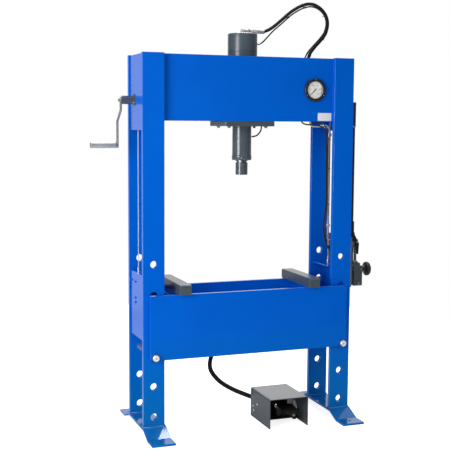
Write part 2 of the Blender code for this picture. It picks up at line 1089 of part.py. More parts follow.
# Pump block with a gland on top, bored for the piston rod
block_low = (pump_x - pump_width / 2, pump_y - pump_depth / 2, pump_low)
block_high = (pump_x + pump_width / 2, pump_y + pump_depth / 2, pump_low + pump_height)
pump = softened(box("pump_block", block_low, block_high), 0.002)
pump_top = pump_low + pump_height
gland = box(
    "pump_gland",
    (pump_rod_x - 0.030, pump_y - 0.024, pump_top - 0.004),
    (pump_rod_x + 0.018, pump_y + 0.024, pump_top + 0.018),
    cutters,
)
joined(pump, [gland])
rod_bore = rod("rod_bore", (pump_rod_x, pump_y, pump_low + 0.020), "z", 0.2, 0.0095, 24, cutters)
stem_bore = rod("stem_bore", (pump_x + 0.010, pump_y, knob_z), "x", 0.05, 0.0075, 20, cutters)
cut(pump, [rod_bore, stem_bore])
finish(pump, "grey")

# Pump piston rod with a slotted eye for the lever pin
rod_foot = pump_low + 0.056
eye_z = 1.000
pump_rod = turned(
    "pump_rod",
    [
        (0.0, rod_foot),
        (0.009, rod_foot),
        (0.009, eye_z - 0.012),
        (0.0, eye_z - 0.012),
    ],
    "z",
    24,
)
eye = box("rod_eye", (-0.015, -0.0055, eye_z - 0.020), (0.015, 0.0055, eye_z + 0.013), cutters)
eye.location = (pump_rod_x, pump_y, 0.0)
joined(pump_rod, [eye])
slot = box("eye_slot", (-0.0080, -0.02, eye_z - 0.0052), (0.0058, 0.02, eye_z + 0.0052), cutters)
slot.location = (pump_rod_x, pump_y, 0.0)
cut(pump_rod, [slot])
finish(pump_rod, "steel", (pump_rod_x, pump_y, 0.0))

# Lever fork: two cheeks on a pivot, with a socket above and a pin to the rod below
cheek_line = [
    (-0.012, -0.012),
    (0.020, -0.014),
    (0.031, -0.062),
    (0.042, -0.066),
    (0.046, -0.002),
    (0.016, 0.052),
    (0.016, 0.064),
    (-0.016, 0.064),
    (-0.016, 0.052),
]
cheek_y = 0.0225
fork = pushed("lever_fork", cheek_line, "y", -cheek_y, -cheek_y + 0.005)
softened(fork, 0.0008)
fork_tools = [
    pushed("far_cheek", cheek_line, "y", cheek_y - 0.005, cheek_y, cutters),
    rod("lever_pivot", (0, -cheek_y + 0.001, 0), "y", 2 * cheek_y - 0.002, 0.006, 20, cutters),
    rod(
        "rod_pin",
        (pump_rod_x - lever_pivot_x, -cheek_y + 0.001, eye_z - lever_pivot_z),
        "y",
        2 * cheek_y - 0.002,
        0.004,
        16,
        cutters,
    ),
    rod("lever_socket", (0, 0, 0.052), "z", 0.075, 0.0205, 32, cutters),
    box("socket_bridge", (-0.014, -cheek_y + 0.001, 0.053), (0.014, cheek_y - 0.001, 0.063), cutters),
]
for tool in fork_tools:
    tool.location = (lever_pivot_x, pump_y, lever_pivot_z)
joined(fork, fork_tools)
socket_bore = rod("socket_bore", (0, 0, 0.0635), "z", 0.1, lever_radius + gap, 32, cutters)
socket_bore.location = (lever_pivot_x, pump_y, lever_pivot_z)
cut(fork, [socket_bore])
finish(fork, "black", (lever_pivot_x, pump_y, lever_pivot_z))

# Lever tube in the socket, and the grip on its upper end
lever_foot = lever_low - lever_pivot_z + 0.001
lever_top = lever_foot + lever_length
lever = turned(
    "lever_tube",
    [
        (0.011, lever_foot),
        (lever_radius, lever_foot),
        (lever_radius, lever_top - 0.006),
        (0.011, lever_top - 0.006),
    ],
    "z",
    24,
)
finish(lever, "grey", (lever_pivot_x, pump_y, lever_pivot_z))

hand = turned(
    "lever_grip",
    [
        (lever_radius + gap, lever_top - lever_grip),
        (0.0185, lever_top - lever_grip),
        (0.0185, lever_top - 0.004),
        (0.0145, lever_top),
        (0.0, lever_top),
        (0.0, lever_top - 0.0055),
        (lever_radius + gap, lever_top - 0.0055),
    ],
    "z",
    24,
)
finish(hand, "black", (lever_pivot_x, pump_y, lever_pivot_z))

# Release knob on a stem in the pump block
knob_inner = pump_x + pump_width / 2
knob = turned(
    "release_knob",
    [
        (0.0, knob_inner - 0.012),
        (0.007, knob_inner - 0.012),
        (0.007, knob_inner + 0.006),
        (0.016, knob_inner + 0.008),
        (0.018, knob_inner + 0.026),
        (0.030, knob_inner + 0.030),
        (knob_radius, knob_inner + 0.036),
        (knob_radius, knob_inner + 0.047),
        (knob_radius - 0.006, knob_inner + 0.055),
        (0.020, knob_inner + 0.060),
        (0.0, knob_inner + 0.060),
    ],
    "x",
    28,
)
finish(knob, "black", (0.0, pump_y, knob_z))

# Foot pedal: a hood over a base plate with a valve and a sprung tread
hood_outline = []
corner = 0.010
for x, start in ((pedal_left, 180), (pedal_right, 90)):
    cx = x + corner if start == 180 else x - corner
    for a, b in arc(cx, pedal_height - corner, corner, start, start - 90, 5):
        hood_outline.append((a, b))
hood_outline.append((pedal_right, 0.0))
hood_outline.append((pedal_right - pedal_sheet, 0.0))
inner_corner = corner - pedal_sheet
for start in (0, 90):
    cx = pedal_right - corner if start == 0 else pedal_left + corner
    for a, b in arc(cx, pedal_height - corner, inner_corner, start, start + 90, 5):
        hood_outline.append((a, b))
hood_outline.append((pedal_left + pedal_sheet, 0.0))
hood_outline.append((pedal_left, 0.0))
hood = pushed("pedal_guard", hood_outline, "y", pedal_front, pedal_back)
hood_holes = []
for y, z, radius in ((-0.018, 0.068, 0.0055), (-0.079, 0.091, 0.0065), (-0.027, 0.044, 0.0055)):
    hood_holes.append(rod(f"hood_hole_{z:.2f}", (pedal_left - 0.02, y, z), "x", 0.04, radius, 16, cutters))
cut(hood, hood_holes)
finish(hood, "grey")

base = box(
    "pedal_base",
    (pedal_left + pedal_sheet + gap, pedal_front + 0.020, 0.012),
    (pedal_right - pedal_sheet - gap, pedal_back - 0.004, 0.016),
)
finish(base, "black")

valve_x = 0.225
valve_back = -0.030
valve = box(
    "pedal_valve",
    (valve_x - 0.040, valve_back - 0.075, 0.016 + gap),
    (valve_x + 0.040, valve_back, 0.062),
)
softened(valve, 0.002)
tread_pivot_y = valve_back - 0.012
tread_pivot_z = 0.078
valve_ears = []
for side in (-1, 1):
    ear = box(
        f"valve_ear_{side}",
        (valve_x + side * 0.034 - 0.004, tread_pivot_y - 0.009, 0.058),
        (valve_x + side * 0.034 + 0.004, tread_pivot_y + 0.009, tread_pivot_z + 0.009),
        cutters,
    )
    valve_ears.append(ear)
joined(valve, valve_ears)
ear_bore = rod("ear_bore", (valve_x - 0.06, tread_pivot_y, tread_pivot_z), "x", 0.12, 0.0045, 16, cutters)
cut(valve, [ear_bore])
finish(valve, "zinc")

# Tread on its pivot pin, with a rolled front edge
tread_line = [
    (0.006, -0.006),
    (0.006, 0.004),
    (0.0, 0.007),
    (-0.120, 0.007),
    (-0.178, -0.006),
    (-0.186, -0.012),
    (-0.184, -0.017),
    (-0.174, -0.013),
    (-0.118, 0.001),
    (-0.010, 0.001),
    (-0.006, -0.006),
]
tread = pushed("pedal_tread", tread_line, "x", -0.029, 0.029)
softened(tread, 0.0008)
tread_tools = [
    rod("tread_pin", (-0.040, 0, 0), "x", 0.080, 0.004, 16, cutters),
    pushed(
        "tread_pad",
        [(-0.070, 0.005), (-0.070, 0.0105), (-0.118, 0.0105), (-0.172, -0.001), (-0.172, -0.0065), (-0.118, 0.005)],
        "x",
        -0.046,
        0.046,
        cutters,
    ),
]
for tool in tread_tools:
    tool.location = (valve_x, tread_pivot_y, tread_pivot_z)
joined(tread, tread_tools)
finish(tread, "black", (valve_x, tread_pivot_y, tread_pivot_z))

# Return spring under the tread, a coil from a formula
spring_turns = 5
spring_radius = 0.009
spring_wire = 0.0012
spring_y = valve_back - 0.092
spring_low = 0.016 + gap + spring_wire
spring_top = tread_pivot_z + 0.001 - gap - spring_wire
coil = []
for k in range(spring_turns * 12 + 1):
    a = 2 * math.pi * k / 12
    h = spring_low + (spring_top - spring_low) * k / (spring_turns * 12)
    coil.append((valve_x + spring_radius * math.cos(a), spring_y + spring_radius * math.sin(a), h))
tube("pedal_spring", coil, spring_wire, "steel", 1)

# Pressure hose: a high loop from the cylinder head down into the beam
thick_radius = 0.0095
thick_points = [
    (0.0885, 0.0, elbow_z),
    (0.115, 0.0, elbow_z + 0.001),
    (0.146, -0.001, elbow_z + 0.008),
    (0.184, -0.002, 2.220),
    (0.237, -0.004, 2.263),
    (0.289, -0.009, 2.307),
    (0.342, -0.012, 2.338),
    (0.385, -0.015, 2.352),
    (0.428, -0.017, 2.349),
    (0.472, -0.018, 2.324),
    (0.499, -0.023, 2.285),
    (0.506, -0.026, 2.240),
    (0.491, -0.031, 2.190),
    (0.462, -0.034, 2.153),
    (0.421, -0.039, 2.112),
    (0.388, -0.044, 2.070),
    (0.374, -0.048, 2.020),
    (gauge_x - 0.012, block_y, 1.975),
    (gauge_x - 0.012, block_y, block_top + gap),
]
tube("pressure_hose", smooth_path(thick_points, 0.024), thick_radius, "rubber", 3)

# Return hose: from the side of the head, beside the loop, through the beam to the right column
thin_radius = 0.0042
port_y = -0.030
port_x = math.sqrt(barrel_radius ** 2 - port_y ** 2) + 0.003
return_points = [
    (port_x, port_y, 2.117),
    (0.105, -0.030, 2.128),
    (0.136, -0.026, 2.157),
    (0.176, -0.021, 2.196),
    (0.232, -0.022, 2.243),
    (0.284, -0.027, 2.288),
    (0.338, -0.030, 2.320),
    (0.384, -0.033, 2.335),
    (0.424, -0.035, 2.332),
    (0.460, -0.036, 2.312),
    (0.482, -0.041, 2.280),
    (0.488, -0.044, 2.240),
    (0.474, -0.049, 2.196),
    (0.446, -0.052, 2.160),
    (0.404, -0.056, 2.118),
    (0.364, -0.060, 2.072),
    (0.338, -0.058, 2.000),
    (0.333, -0.056, 1.900),
    (0.331, -0.055, 1.780),
    (0.332, -0.056, 1.715),
    (0.346, -0.066, 1.684),
    (0.389, -0.087, 1.676),
    (0.430, -0.101, 1.672),
    (0.457, -0.110, 1.648),
    (0.469, -0.107, 1.600),
    (0.474, -0.105, 1.520),
    (0.474, -0.105, 1.423),
    (0.476, -0.105, 1.223),
    (0.464, -0.104, 1.138),
    (0.462, -0.104, 1.092),
    (0.472, -0.105, 1.036),
    (0.484, -0.105, 0.998),
    (0.512, -0.105, 0.978),
    (0.560, -0.104, 0.972),
    (half_width - 0.001, -0.102, 0.972),
]
tube("return_hose", smooth_path(return_points, 0.038), thin_radius, "rubber", 2)

# Jumper hose: a short bend from the sleeve up to a port in the carrier plate
jumper_radius = 0.0035
jumper_y = -0.024
jumper_x = math.sqrt(sleeve_radius ** 2 - jumper_y ** 2) + 0.0025
jumper_points = [
    (jumper_x, jumper_y, carrier_low - 0.0567),
    (0.060, -0.026, carrier_low - 0.0562),
    (0.079, -0.031, carrier_low - 0.0497),
    (0.093, -0.037, carrier_low - 0.0327),
    (0.099, -0.041, carrier_low - 0.0167),
    (0.101, -0.042, carrier_low - 0.0006),
]
tube("jumper_hose", smooth_path(jumper_points, 0.008), jumper_radius, "rubber", 2)

# Supply hose: from the valve block down the right column beside the return hose
supply_radius = 0.0035
supply_points = [
    (gauge_x - 0.014, block_y, gauge_z - 0.030 - gap),
    (gauge_x - 0.014, block_y, 1.810),
    (0.362, -0.060, 1.760),
    (0.366, -0.086, 1.706),
    (0.400, -0.094, 1.692),
    (0.440, -0.108, 1.688),
    (0.466, -0.119, 1.655),
    (0.4735, -0.119, 1.595),
    (0.475, -0.118, 1.520),
    (0.4755, -0.118, 1.423),
    (0.4775, -0.118, 1.223),
    (0.468, -0.117, 1.138),
    (0.466, -0.117, 1.092),
    (0.476, -0.118, 1.020),
    (0.490, -0.118, 0.976),
    (0.516, -0.118, 0.953),
    (0.560, -0.118, 0.947),
    (half_width - 0.001, -0.117, 0.946),
]
tube("supply_hose", smooth_path(supply_points, 0.024), supply_radius, "rubber", 2)


# Pedal hoses: a pair side by side from the back of the pump, behind the table, to the pedal valve
pedal_radius = 0.006
pedal_points = [
    (pump_x - 0.004, pump_y + pump_depth / 2 + gap, 0.790),
    (pump_x - 0.004, 0.060, 0.788),
    (pump_x - 0.014, 0.140, 0.768),
    (0.650, 0.212, 0.716),
    (0.560, 0.236, 0.650),
    (0.420, 0.240, 0.570),
    (0.250, 0.240, 0.505),
    (0.090, 0.238, 0.452),
    (-0.020, 0.232, 0.402),
    (-0.080, 0.222, 0.346),
    (-0.106, 0.214, 0.290),
    (-0.107, 0.206, 0.243),
    (-0.087, 0.190, 0.204),
    (-0.049, 0.168, 0.164),
    (0.009, 0.134, 0.129),
    (0.062, 0.100, 0.107),
    (0.120, 0.080, 0.084),
    (valve_x - 0.034, 0.062, 0.058),
    (valve_x - 0.004, 0.026, 0.042),
    (valve_x, valve_back + gap, 0.040),
]
pedal_path = smooth_path(pedal_points, 0.026)


# The pair lies side by side across its own direction, one above the other at both ends
def pedal_hose(name, side):
    path = []
    last = len(pedal_path) - 1
    for k, spot in enumerate(pedal_path):
        before = pedal_path[max(k - 1, 0)]
        after = pedal_path[min(k + 1, last)]
        run = [b - a for a, b in zip(before, after)]
        size = math.sqrt(sum(a * a for a in run))
        across_x = -run[2] / size
        across_z = run[0] / size
        lost = 1 - math.hypot(across_x, across_z)
        across_z += lost if k > last / 2 else -lost
        width = math.hypot(across_x, across_z)
        shift = side * (pedal_radius + 0.0006) / width
        path.append((spot[0] + shift * across_x, spot[1], spot[2] + shift * across_z))
    tube(name, path, pedal_radius, "rubber", 2)


pedal_hose("pedal_hose_upper", 1)
pedal_hose("pedal_hose_lower", -1)
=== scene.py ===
import json
import math

import bpy
import bmesh
from mathutils import Matrix, Vector


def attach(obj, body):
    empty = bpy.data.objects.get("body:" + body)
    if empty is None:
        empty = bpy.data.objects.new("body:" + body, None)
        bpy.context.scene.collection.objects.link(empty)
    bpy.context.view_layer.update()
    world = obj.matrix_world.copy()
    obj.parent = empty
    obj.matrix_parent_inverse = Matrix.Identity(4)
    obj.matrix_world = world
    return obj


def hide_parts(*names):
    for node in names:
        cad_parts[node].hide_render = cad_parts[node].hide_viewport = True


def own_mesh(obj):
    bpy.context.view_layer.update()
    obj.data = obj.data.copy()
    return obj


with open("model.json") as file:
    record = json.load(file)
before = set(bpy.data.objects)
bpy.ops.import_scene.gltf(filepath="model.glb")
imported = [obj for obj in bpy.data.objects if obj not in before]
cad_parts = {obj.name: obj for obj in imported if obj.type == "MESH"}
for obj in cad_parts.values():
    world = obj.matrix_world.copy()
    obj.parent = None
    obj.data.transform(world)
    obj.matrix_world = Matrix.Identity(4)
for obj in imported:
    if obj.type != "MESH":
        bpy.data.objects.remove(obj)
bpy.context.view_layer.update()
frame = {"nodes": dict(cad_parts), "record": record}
nodes = frame["nodes"]
scene = bpy.context.scene
midX = 0.0265  # the press's own middle plane
print("frame loaded:", len(nodes), "nodes")


# shader node groups shared by the paints, metals and rubbers

grainLook = {"rough": 0.55, "layers": [("Fine Scale", "Grain", 2), ("Cloud Scale", "Clouds", 5)]}
rubLook = {"samples": 6, "gain": 7.0, "detail": 7, "rough": 0.65, "patch": (0.42, 0.66)}
dustLook = {"up": (0.4, 1.0), "share": 0.6, "scale": 22, "detail": 8, "rough": 0.7, "patch": (0.4, 0.75)}


def newGroup(name, inputs, outputs):
    group = bpy.data.node_groups.new(name, "ShaderNodeTree")
    for label, value in inputs:
        socket = group.interface.new_socket(label, in_out="INPUT", socket_type="NodeSocketFloat")
        socket.default_value = value
    for label in outputs:
        group.interface.new_socket(label, in_out="OUTPUT", socket_type="NodeSocketFloat")
    return group, group.nodes.new("NodeGroupInput"), group.nodes.new("NodeGroupOutput")


def addNode(tree, kind, settings=None, **sockets):
    node = tree.nodes.new(kind)
    for key, value in (settings or {}).items():
        setattr(node, key, value)
    for key, value in sockets.items():
        node.inputs[key.replace("_", " ")].default_value = value
    return node


def math2(tree, operation, a, b, clamp=False):
    node = tree.nodes.new("ShaderNodeMath")
    node.operation = operation
    node.use_clamp = clamp
    for slot, value in zip(node.inputs, (a, b)):
        if isinstance(value, (int, float)):
            slot.default_value = value
        else:
            tree.links.new(value, slot)
    return node.outputs[0]


def remap(tree, value, low, high, toLow, toHigh):
    node = tree.nodes.new("ShaderNodeMapRange")
    tree.links.new(value, node.inputs["Value"])
    for label, number in (("From Min", low), ("From Max", high), ("To Min", toLow), ("To Max", toHigh)):
        node.inputs[label].default_value = number
    return node.outputs["Result"]


def splitVector(tree, vector):
    node = tree.nodes.new("ShaderNodeSeparateXYZ")
    tree.links.new(vector, node.inputs[0])
    return node.outputs


def addNoise(tree, place, detail, rough, scale=1.0):
    noise = addNode(tree, "ShaderNodeTexNoise", Scale=scale, Detail=detail, Roughness=rough)
    tree.links.new(place, noise.inputs["Vector"])
    return noise


def makeSkinGrain():
    group, inn, out = newGroup("skinGrain", [("Fine Scale", 300), ("Cloud Scale", 4)], ["Grain", "Clouds"])
    place = addNode(group, "ShaderNodeTexCoord")
    for label, result, detail in grainLook["layers"]:
        noise = addNoise(group, place.outputs["Object"], detail, grainLook["rough"])
        group.links.new(inn.outputs[label], noise.inputs["Scale"])
        group.links.new(noise.outputs["Fac"], out.inputs[result])
    return group


def makeEdgeRub():
    group, inn, out = newGroup("edgeRub", [("Radius", 0.002), ("Amount", 0.5), ("Patch Scale", 40)], ["Mask"])
    bevel = addNode(group, "ShaderNodeBevel", {"samples": rubLook["samples"]})
    group.links.new(inn.outputs["Radius"], bevel.inputs["Radius"])
    surface = addNode(group, "ShaderNodeNewGeometry")
    dot = addNode(group, "ShaderNodeVectorMath", {"operation": "DOT_PRODUCT"})
    group.links.new(bevel.outputs["Normal"], dot.inputs[0])
    group.links.new(surface.outputs["Normal"], dot.inputs[1])
    turn = math2(group, "SUBTRACT", 1.0, dot.outputs["Value"])
    edge = math2(group, "MULTIPLY", turn, rubLook["gain"], True)
    place = addNode(group, "ShaderNodeTexCoord")
    noise = addNoise(group, place.outputs["Object"], rubLook["detail"], rubLook["rough"])
    group.links.new(inn.outputs["Patch Scale"], noise.inputs["Scale"])
    patch = remap(group, noise.outputs["Fac"], *rubLook["patch"], 0.0, 1.0)
    worn = math2(group, "MULTIPLY", edge, patch)
    group.links.new(math2(group, "MULTIPLY", worn, inn.outputs["Amount"], True), out.inputs["Mask"])
    return group


def makeFloorDust():
    group, inn, out = newGroup("floorDust", [("Amount", 0.3), ("Reach", 0.25)], ["Mask"])
    surface = addNode(group, "ShaderNodeNewGeometry")
    facing = splitVector(group, surface.outputs["Normal"])
    spot = splitVector(group, surface.outputs["Position"])
    up = remap(group, facing["Z"], *dustLook["up"], 0.0, dustLook["share"])
    fromFloor = math2(group, "DIVIDE", spot["Z"], inn.outputs["Reach"])
    low = remap(group, fromFloor, 0.0, 1.0, dustLook["share"], 0.0)
    noise = addNoise(group, surface.outputs["Position"], dustLook["detail"], dustLook["rough"],
                     dustLook["scale"])
    patch = remap(group, noise.outputs["Fac"], *dustLook["patch"], 0.0, 1.0)
    laid = math2(group, "MULTIPLY", math2(group, "ADD", up, low), patch)
    group.links.new(math2(group, "MULTIPLY", laid, inn.outputs["Amount"], True), out.inputs["Mask"])
    return group


skinGrain = makeSkinGrain()
edgeRub = makeEdgeRub()
floorDust = makeFloorDust()


def useGroup(tree, group, **sockets):
    node = tree.nodes.new("ShaderNodeGroup")
    node.node_tree = group
    for key, value in sockets.items():
        node.inputs[key.replace("_", " ")].default_value = value
    return node


def mixColour(tree, mask, a, b):
    node = tree.nodes.new("ShaderNodeMix")
    node.data_type = "RGBA"
    tree.links.new(mask, node.inputs["Factor"])
    for socket, value in ((node.inputs[6], a), (node.inputs[7], b)):  # the colour sockets A and B
        if isinstance(value, tuple):
            socket.default_value = (*value, 1.0)
        else:
            tree.links.new(value, socket)
    return node.outputs[2]


def startMaterial(name):
    mat = bpy.data.materials.new(name)
    mat.use_nodes = True
    return mat, mat.node_tree, mat.node_tree.nodes["Principled BSDF"]


def addBump(tree, shader, height, strength, distance):
    bump = addNode(tree, "ShaderNodeBump", Strength=strength, Distance=distance)
    tree.links.new(height, bump.inputs["Height"])
    tree.links.new(bump.outputs["Normal"], shader.inputs["Normal"])


def roughAbout(tree, value, band, middle, spread):
    return remap(tree, value, *band, middle + spread[0], middle + spread[1])


# what all paints, all metals and all rubbers have in common

paintBase = {
    "cloud": (0.3, 0.7), "grain": (0.2, 0.8), "spread": (-0.04, 0.06), "peelDepth": 0.0004, "filmRough": 0.08,
    "dustColour": (0.42, 0.41, 0.39), "dustReach": 0.22, "dustRough": 0.35,
    # painted light: near the floor the blue shifts to a greener tint that stands in for light bounced up from
    # the floor
    "low": (0.12, 0.58),  # heights between which the tint near the floor fades out
    "level": (0.3, 0.8), "flank": (0.5, 0.9),  # how far a face looks up or sideways before its film shows
}
metalBase = {
    "cloud": (0.35, 0.65), "streak": (0.25, 0.75), "spread": (-0.07, 0.10), "streakDetail": 4,
    "streakRough": 0.6,
    "grainRough": 0.06, "rubRadius": 0.0015, "rubScale": 60, "bumpDepth": 0.0002,
}
softBase = {
    "cloud": (0.3, 0.7), "grain": (0.2, 0.8), "spread": (-0.06, 0.08), "bumpDepth": 0.0003,
    "dustColour": (0.32, 0.31, 0.30), "dustReach": 0.15,
}


def makePaint(name, look):
    base = paintBase
    mat, tree, shader = startMaterial(name)
    skin = useGroup(tree, skinGrain, Fine_Scale=look["peelScale"], Cloud_Scale=look["cloudScale"])
    rub = useGroup(tree, edgeRub, Radius=look["rubRadius"], Amount=look["rub"], Patch_Scale=look["rubScale"])
    dust = useGroup(tree, floorDust, Amount=look["dust"], Reach=base["dustReach"])
    surface = addNode(tree, "ShaderNodeNewGeometry")
    spot = splitVector(tree, surface.outputs["Position"])
    facing = splitVector(tree, surface.outputs["Normal"])
    cloud = remap(tree, skin.outputs["Clouds"], *base["cloud"], 0.0, 1.0)
    # painted floor bounce: this mask is 1 at the floor and 0 above the 'low' heights, fading the colour
    # toward the painted bounce tint
    low = remap(tree, spot["Z"], *base["low"], 1.0, 0.0)
    colour = mixColour(tree, cloud, look["colour"], look["deep"])
    colour = mixColour(tree, low, colour, look.get("paintedBounceTint", look["colour"]))
    colour = mixColour(tree, rub.outputs["Mask"], colour, look["rubColour"])
    colour = mixColour(tree, dust.outputs["Mask"], colour, base["dustColour"])
    tree.links.new(colour, shader.inputs["Base Color"])
    rough = roughAbout(tree, skin.outputs["Grain"], base["grain"], look["rough"], base["spread"])
    dustRough = math2(tree, "MULTIPLY", dust.outputs["Mask"], base["dustRough"])
    tree.links.new(math2(tree, "ADD", rough, dustRough, True), shader.inputs["Roughness"])
    addBump(tree, shader, skin.outputs["Grain"], look["peel"], base["peelDepth"])
    shader.inputs["Specular IOR Level"].default_value = look["gloss"]
    level = remap(tree, facing["Z"], *base["level"], 0.0, look.get("topFilm", 0.0))
    across = math2(tree, "ABSOLUTE", facing["X"], 0.0)
    flank = remap(tree, across, *base["flank"], look["coat"], look.get("sideFilm", look["coat"]))
    tree.links.new(math2(tree, "MAXIMUM", level, flank), shader.inputs["Coat Weight"])
    shader.inputs["Coat Roughness"].default_value = base["filmRough"]
    return mat


def makeMetal(name, look):
    base = metalBase
    mat, tree, shader = startMaterial(name)
    place = addNode(tree, "ShaderNodeTexCoord")
    stretch = addNode(tree, "ShaderNodeMapping", Scale=look["streak"])
    tree.links.new(place.outputs["Object"], stretch.inputs["Vector"])
    streak = addNoise(tree, stretch.outputs["Vector"], base["streakDetail"], base["streakRough"])
    skin = useGroup(tree, skinGrain, Fine_Scale=look["grainScale"], Cloud_Scale=look["cloudScale"])
    rub = useGroup(tree, edgeRub, Radius=base["rubRadius"], Amount=look["rub"], Patch_Scale=base["rubScale"])
    cloud = remap(tree, skin.outputs["Clouds"], *base["cloud"], 0.0, 1.0)
    colour = mixColour(tree, cloud, look["colour"], look["deep"])
    colour = mixColour(tree, rub.outputs["Mask"], colour, look["bright"])
    tree.links.new(colour, shader.inputs["Base Color"])
    rough = roughAbout(tree, streak.outputs["Fac"], base["streak"], look["rough"], base["spread"])
    grain = math2(tree, "MULTIPLY", skin.outputs["Grain"], base["grainRough"])
    tree.links.new(math2(tree, "ADD", rough, grain, True), shader.inputs["Roughness"])
    addBump(tree, shader, streak.outputs["Fac"], look["bump"], base["bumpDepth"])
    shader.inputs["Metallic"].default_value = 1.0
    return mat


def makeSoft(name, look):
    base = softBase
    mat, tree, shader = startMaterial(name)
    skin = useGroup(tree, skinGrain, Fine_Scale=look["grainScale"], Cloud_Scale=look["cloudScale"])
    dust = useGroup(tree, floorDust, Amount=look["dust"], Reach=base["dustReach"])
    cloud = remap(tree, skin.outputs["Clouds"], *base["cloud"], 0.0, 1.0)
    colour = mixColour(tree, cloud, look["colour"], look["deep"])
    colour = mixColour(tree, dust.outputs["Mask"], colour, base["dustColour"])
    tree.links.new(colour, shader.inputs["Base Color"])
    rough = roughAbout(tree, skin.outputs["Grain"], base["grain"], look["rough"], base["spread"])
    tree.links.new(rough, shader.inputs["Roughness"])
    addBump(tree, shader, skin.outputs["Grain"], look["bump"], base["bumpDepth"])
    shader.inputs["Specular IOR Level"].default_value = look["gloss"]
    return mat


# the third colour is a painted floor-bounce tint used near the floor; the rub colour is edge wear
blueCoat = {
    "colour": (0.0, 0.126, 0.66), "deep": (0.0, 0.114, 0.62), "paintedBounceTint": (0.0, 0.152, 0.50),
    "rubColour": (0.02, 0.19, 0.78),
}
unworn = {
    "coat": 0.0, "dust": 0.0, "peel": 0.05, "peelScale": 900, "rub": 0.0, "rubRadius": 0.0005, "rubScale": 90,
    "rubColour": (0.7, 0.7, 0.7),
}
bluePaint = makePaint("bluePaint", {
    **blueCoat, "rough": 0.18, "gloss": 0.04, "coat": 0.0, "topFilm": 0.85, "sideFilm": 0.42, "dust": 0.05,
    "peel": 0.05, "peelScale": 420, "cloudScale": 3.0, "rub": 0.35, "rubRadius": 0.0018, "rubScale": 45,
})
weldPaint = makePaint("weldPaint", {
    **blueCoat, "rough": 0.14, "gloss": 0.50, "coat": 0.8, "dust": 0.03,
    "peel": 0.10, "peelScale": 260, "cloudScale": 20.0, "rub": 0.3, "rubRadius": 0.0012, "rubScale": 60,
})
greyPaint = makePaint("greyPaint", {
    "colour": (0.084, 0.106, 0.122), "deep": (0.071, 0.090, 0.104), "rubColour": (0.19, 0.20, 0.21),
    "rough": 0.20, "gloss": 0.50, "coat": 0.40, "sideFilm": 0.15, "dust": 0.12,
    "peel": 0.06, "peelScale": 380, "cloudScale": 6.0, "rub": 0.4, "rubRadius": 0.0015, "rubScale": 60,
})
cylinderPaint = makePaint("cylinderPaint", {
    "colour": (0.074, 0.100, 0.120), "deep": (0.064, 0.087, 0.105), "rubColour": (0.17, 0.18, 0.19),
    "rough": 0.36, "gloss": 0.36, "coat": 0.32, "dust": 0.10,
    "peel": 0.10, "peelScale": 320, "cloudScale": 9.0, "rub": 0.5, "rubRadius": 0.0015, "rubScale": 60,
})
hoodPaint = makePaint("hoodPaint", {
    "colour": (0.044, 0.056, 0.064), "deep": (0.037, 0.048, 0.055), "rubColour": (0.20, 0.21, 0.22),
    "rough": 0.34, "gloss": 0.40, "coat": 0.0, "topFilm": 1.0, "dust": 0.10,
    "peel": 0.14, "peelScale": 700, "cloudScale": 8.0, "rub": 0.5, "rubRadius": 0.0012, "rubScale": 80,
})
blackPaint = makePaint("blackPaint", {
    "colour": (0.018, 0.019, 0.021), "deep": (0.012, 0.013, 0.015), "rubColour": (0.16, 0.16, 0.16),
    "rough": 0.30, "gloss": 0.45, "coat": 0.0, "dust": 0.10,
    "peel": 0.08, "peelScale": 500, "cloudScale": 8.0, "rub": 0.35, "rubRadius": 0.0012, "rubScale": 70,
})
# the light grey along the bar edges is partly worn paint and partly a painted highlight on the chamfers
barWearAndEdgeHighlight = makePaint("barWearAndEdgeHighlight", {
    "colour": (0.066, 0.090, 0.109), "deep": (0.055, 0.076, 0.093), "rubColour": (0.42, 0.42, 0.42),
    "rough": 0.30, "gloss": 0.5, "coat": 0.0, "topFilm": 0.2, "dust": 0.1,
    "peel": 0.12, "peelScale": 260, "cloudScale": 14.0, "rub": 0.8, "rubRadius": 0.002, "rubScale": 50,
})
whitePlate = makePaint("whitePlate", {
    "colour": (0.86, 0.87, 0.87), "deep": (0.80, 0.81, 0.82), "rubColour": (0.55, 0.55, 0.55),
    "rough": 0.35, "gloss": 0.4, "coat": 0.0, "dust": 0.05,
    "peel": 0.03, "peelScale": 600, "cloudScale": 20.0, "rub": 0.2, "rubRadius": 0.0008, "rubScale": 90,
})
ropeCoat = makePaint("ropeCoat", {
    **unworn, "colour": (0.66, 0.67, 0.67), "deep": (0.58, 0.59, 0.59), "rough": 0.40, "gloss": 0.5,
    "peel": 0.10, "cloudScale": 40.0,
})
dialCard = makePaint("dialCard", {
    **unworn, "colour": (0.88, 0.88, 0.86), "deep": (0.84, 0.84, 0.82), "rough": 0.55, "gloss": 0.3,
    "cloudScale": 30.0,
})
dialInk = makePaint("dialInk", {
    **unworn, "colour": (0.014, 0.014, 0.016), "deep": (0.024, 0.024, 0.026), "rough": 0.5, "gloss": 0.3,
    "cloudScale": 60.0,
})
dialRed = makePaint("dialRed", {
    **unworn, "colour": (0.62, 0.016, 0.012), "deep": (0.52, 0.012, 0.010), "rough": 0.5, "gloss": 0.3,
    "cloudScale": 60.0,
})
zincPlate = makeMetal("zincPlate", {
    "colour": (0.66, 0.68, 0.68), "deep": (0.56, 0.575, 0.57), "bright": (0.85, 0.86, 0.86), "rough": 0.38,
    "streak": (240, 240, 240), "grainScale": 500, "cloudScale": 40, "rub": 0.5, "bump": 0.05,
})
bareSteel = makeMetal("bareSteel", {
    "colour": (0.50, 0.50, 0.49), "deep": (0.40, 0.40, 0.39), "bright": (0.75, 0.75, 0.74), "rough": 0.28,
    "streak": (60, 60, 900), "grainScale": 600, "cloudScale": 25, "rub": 0.5, "bump": 0.06,
})
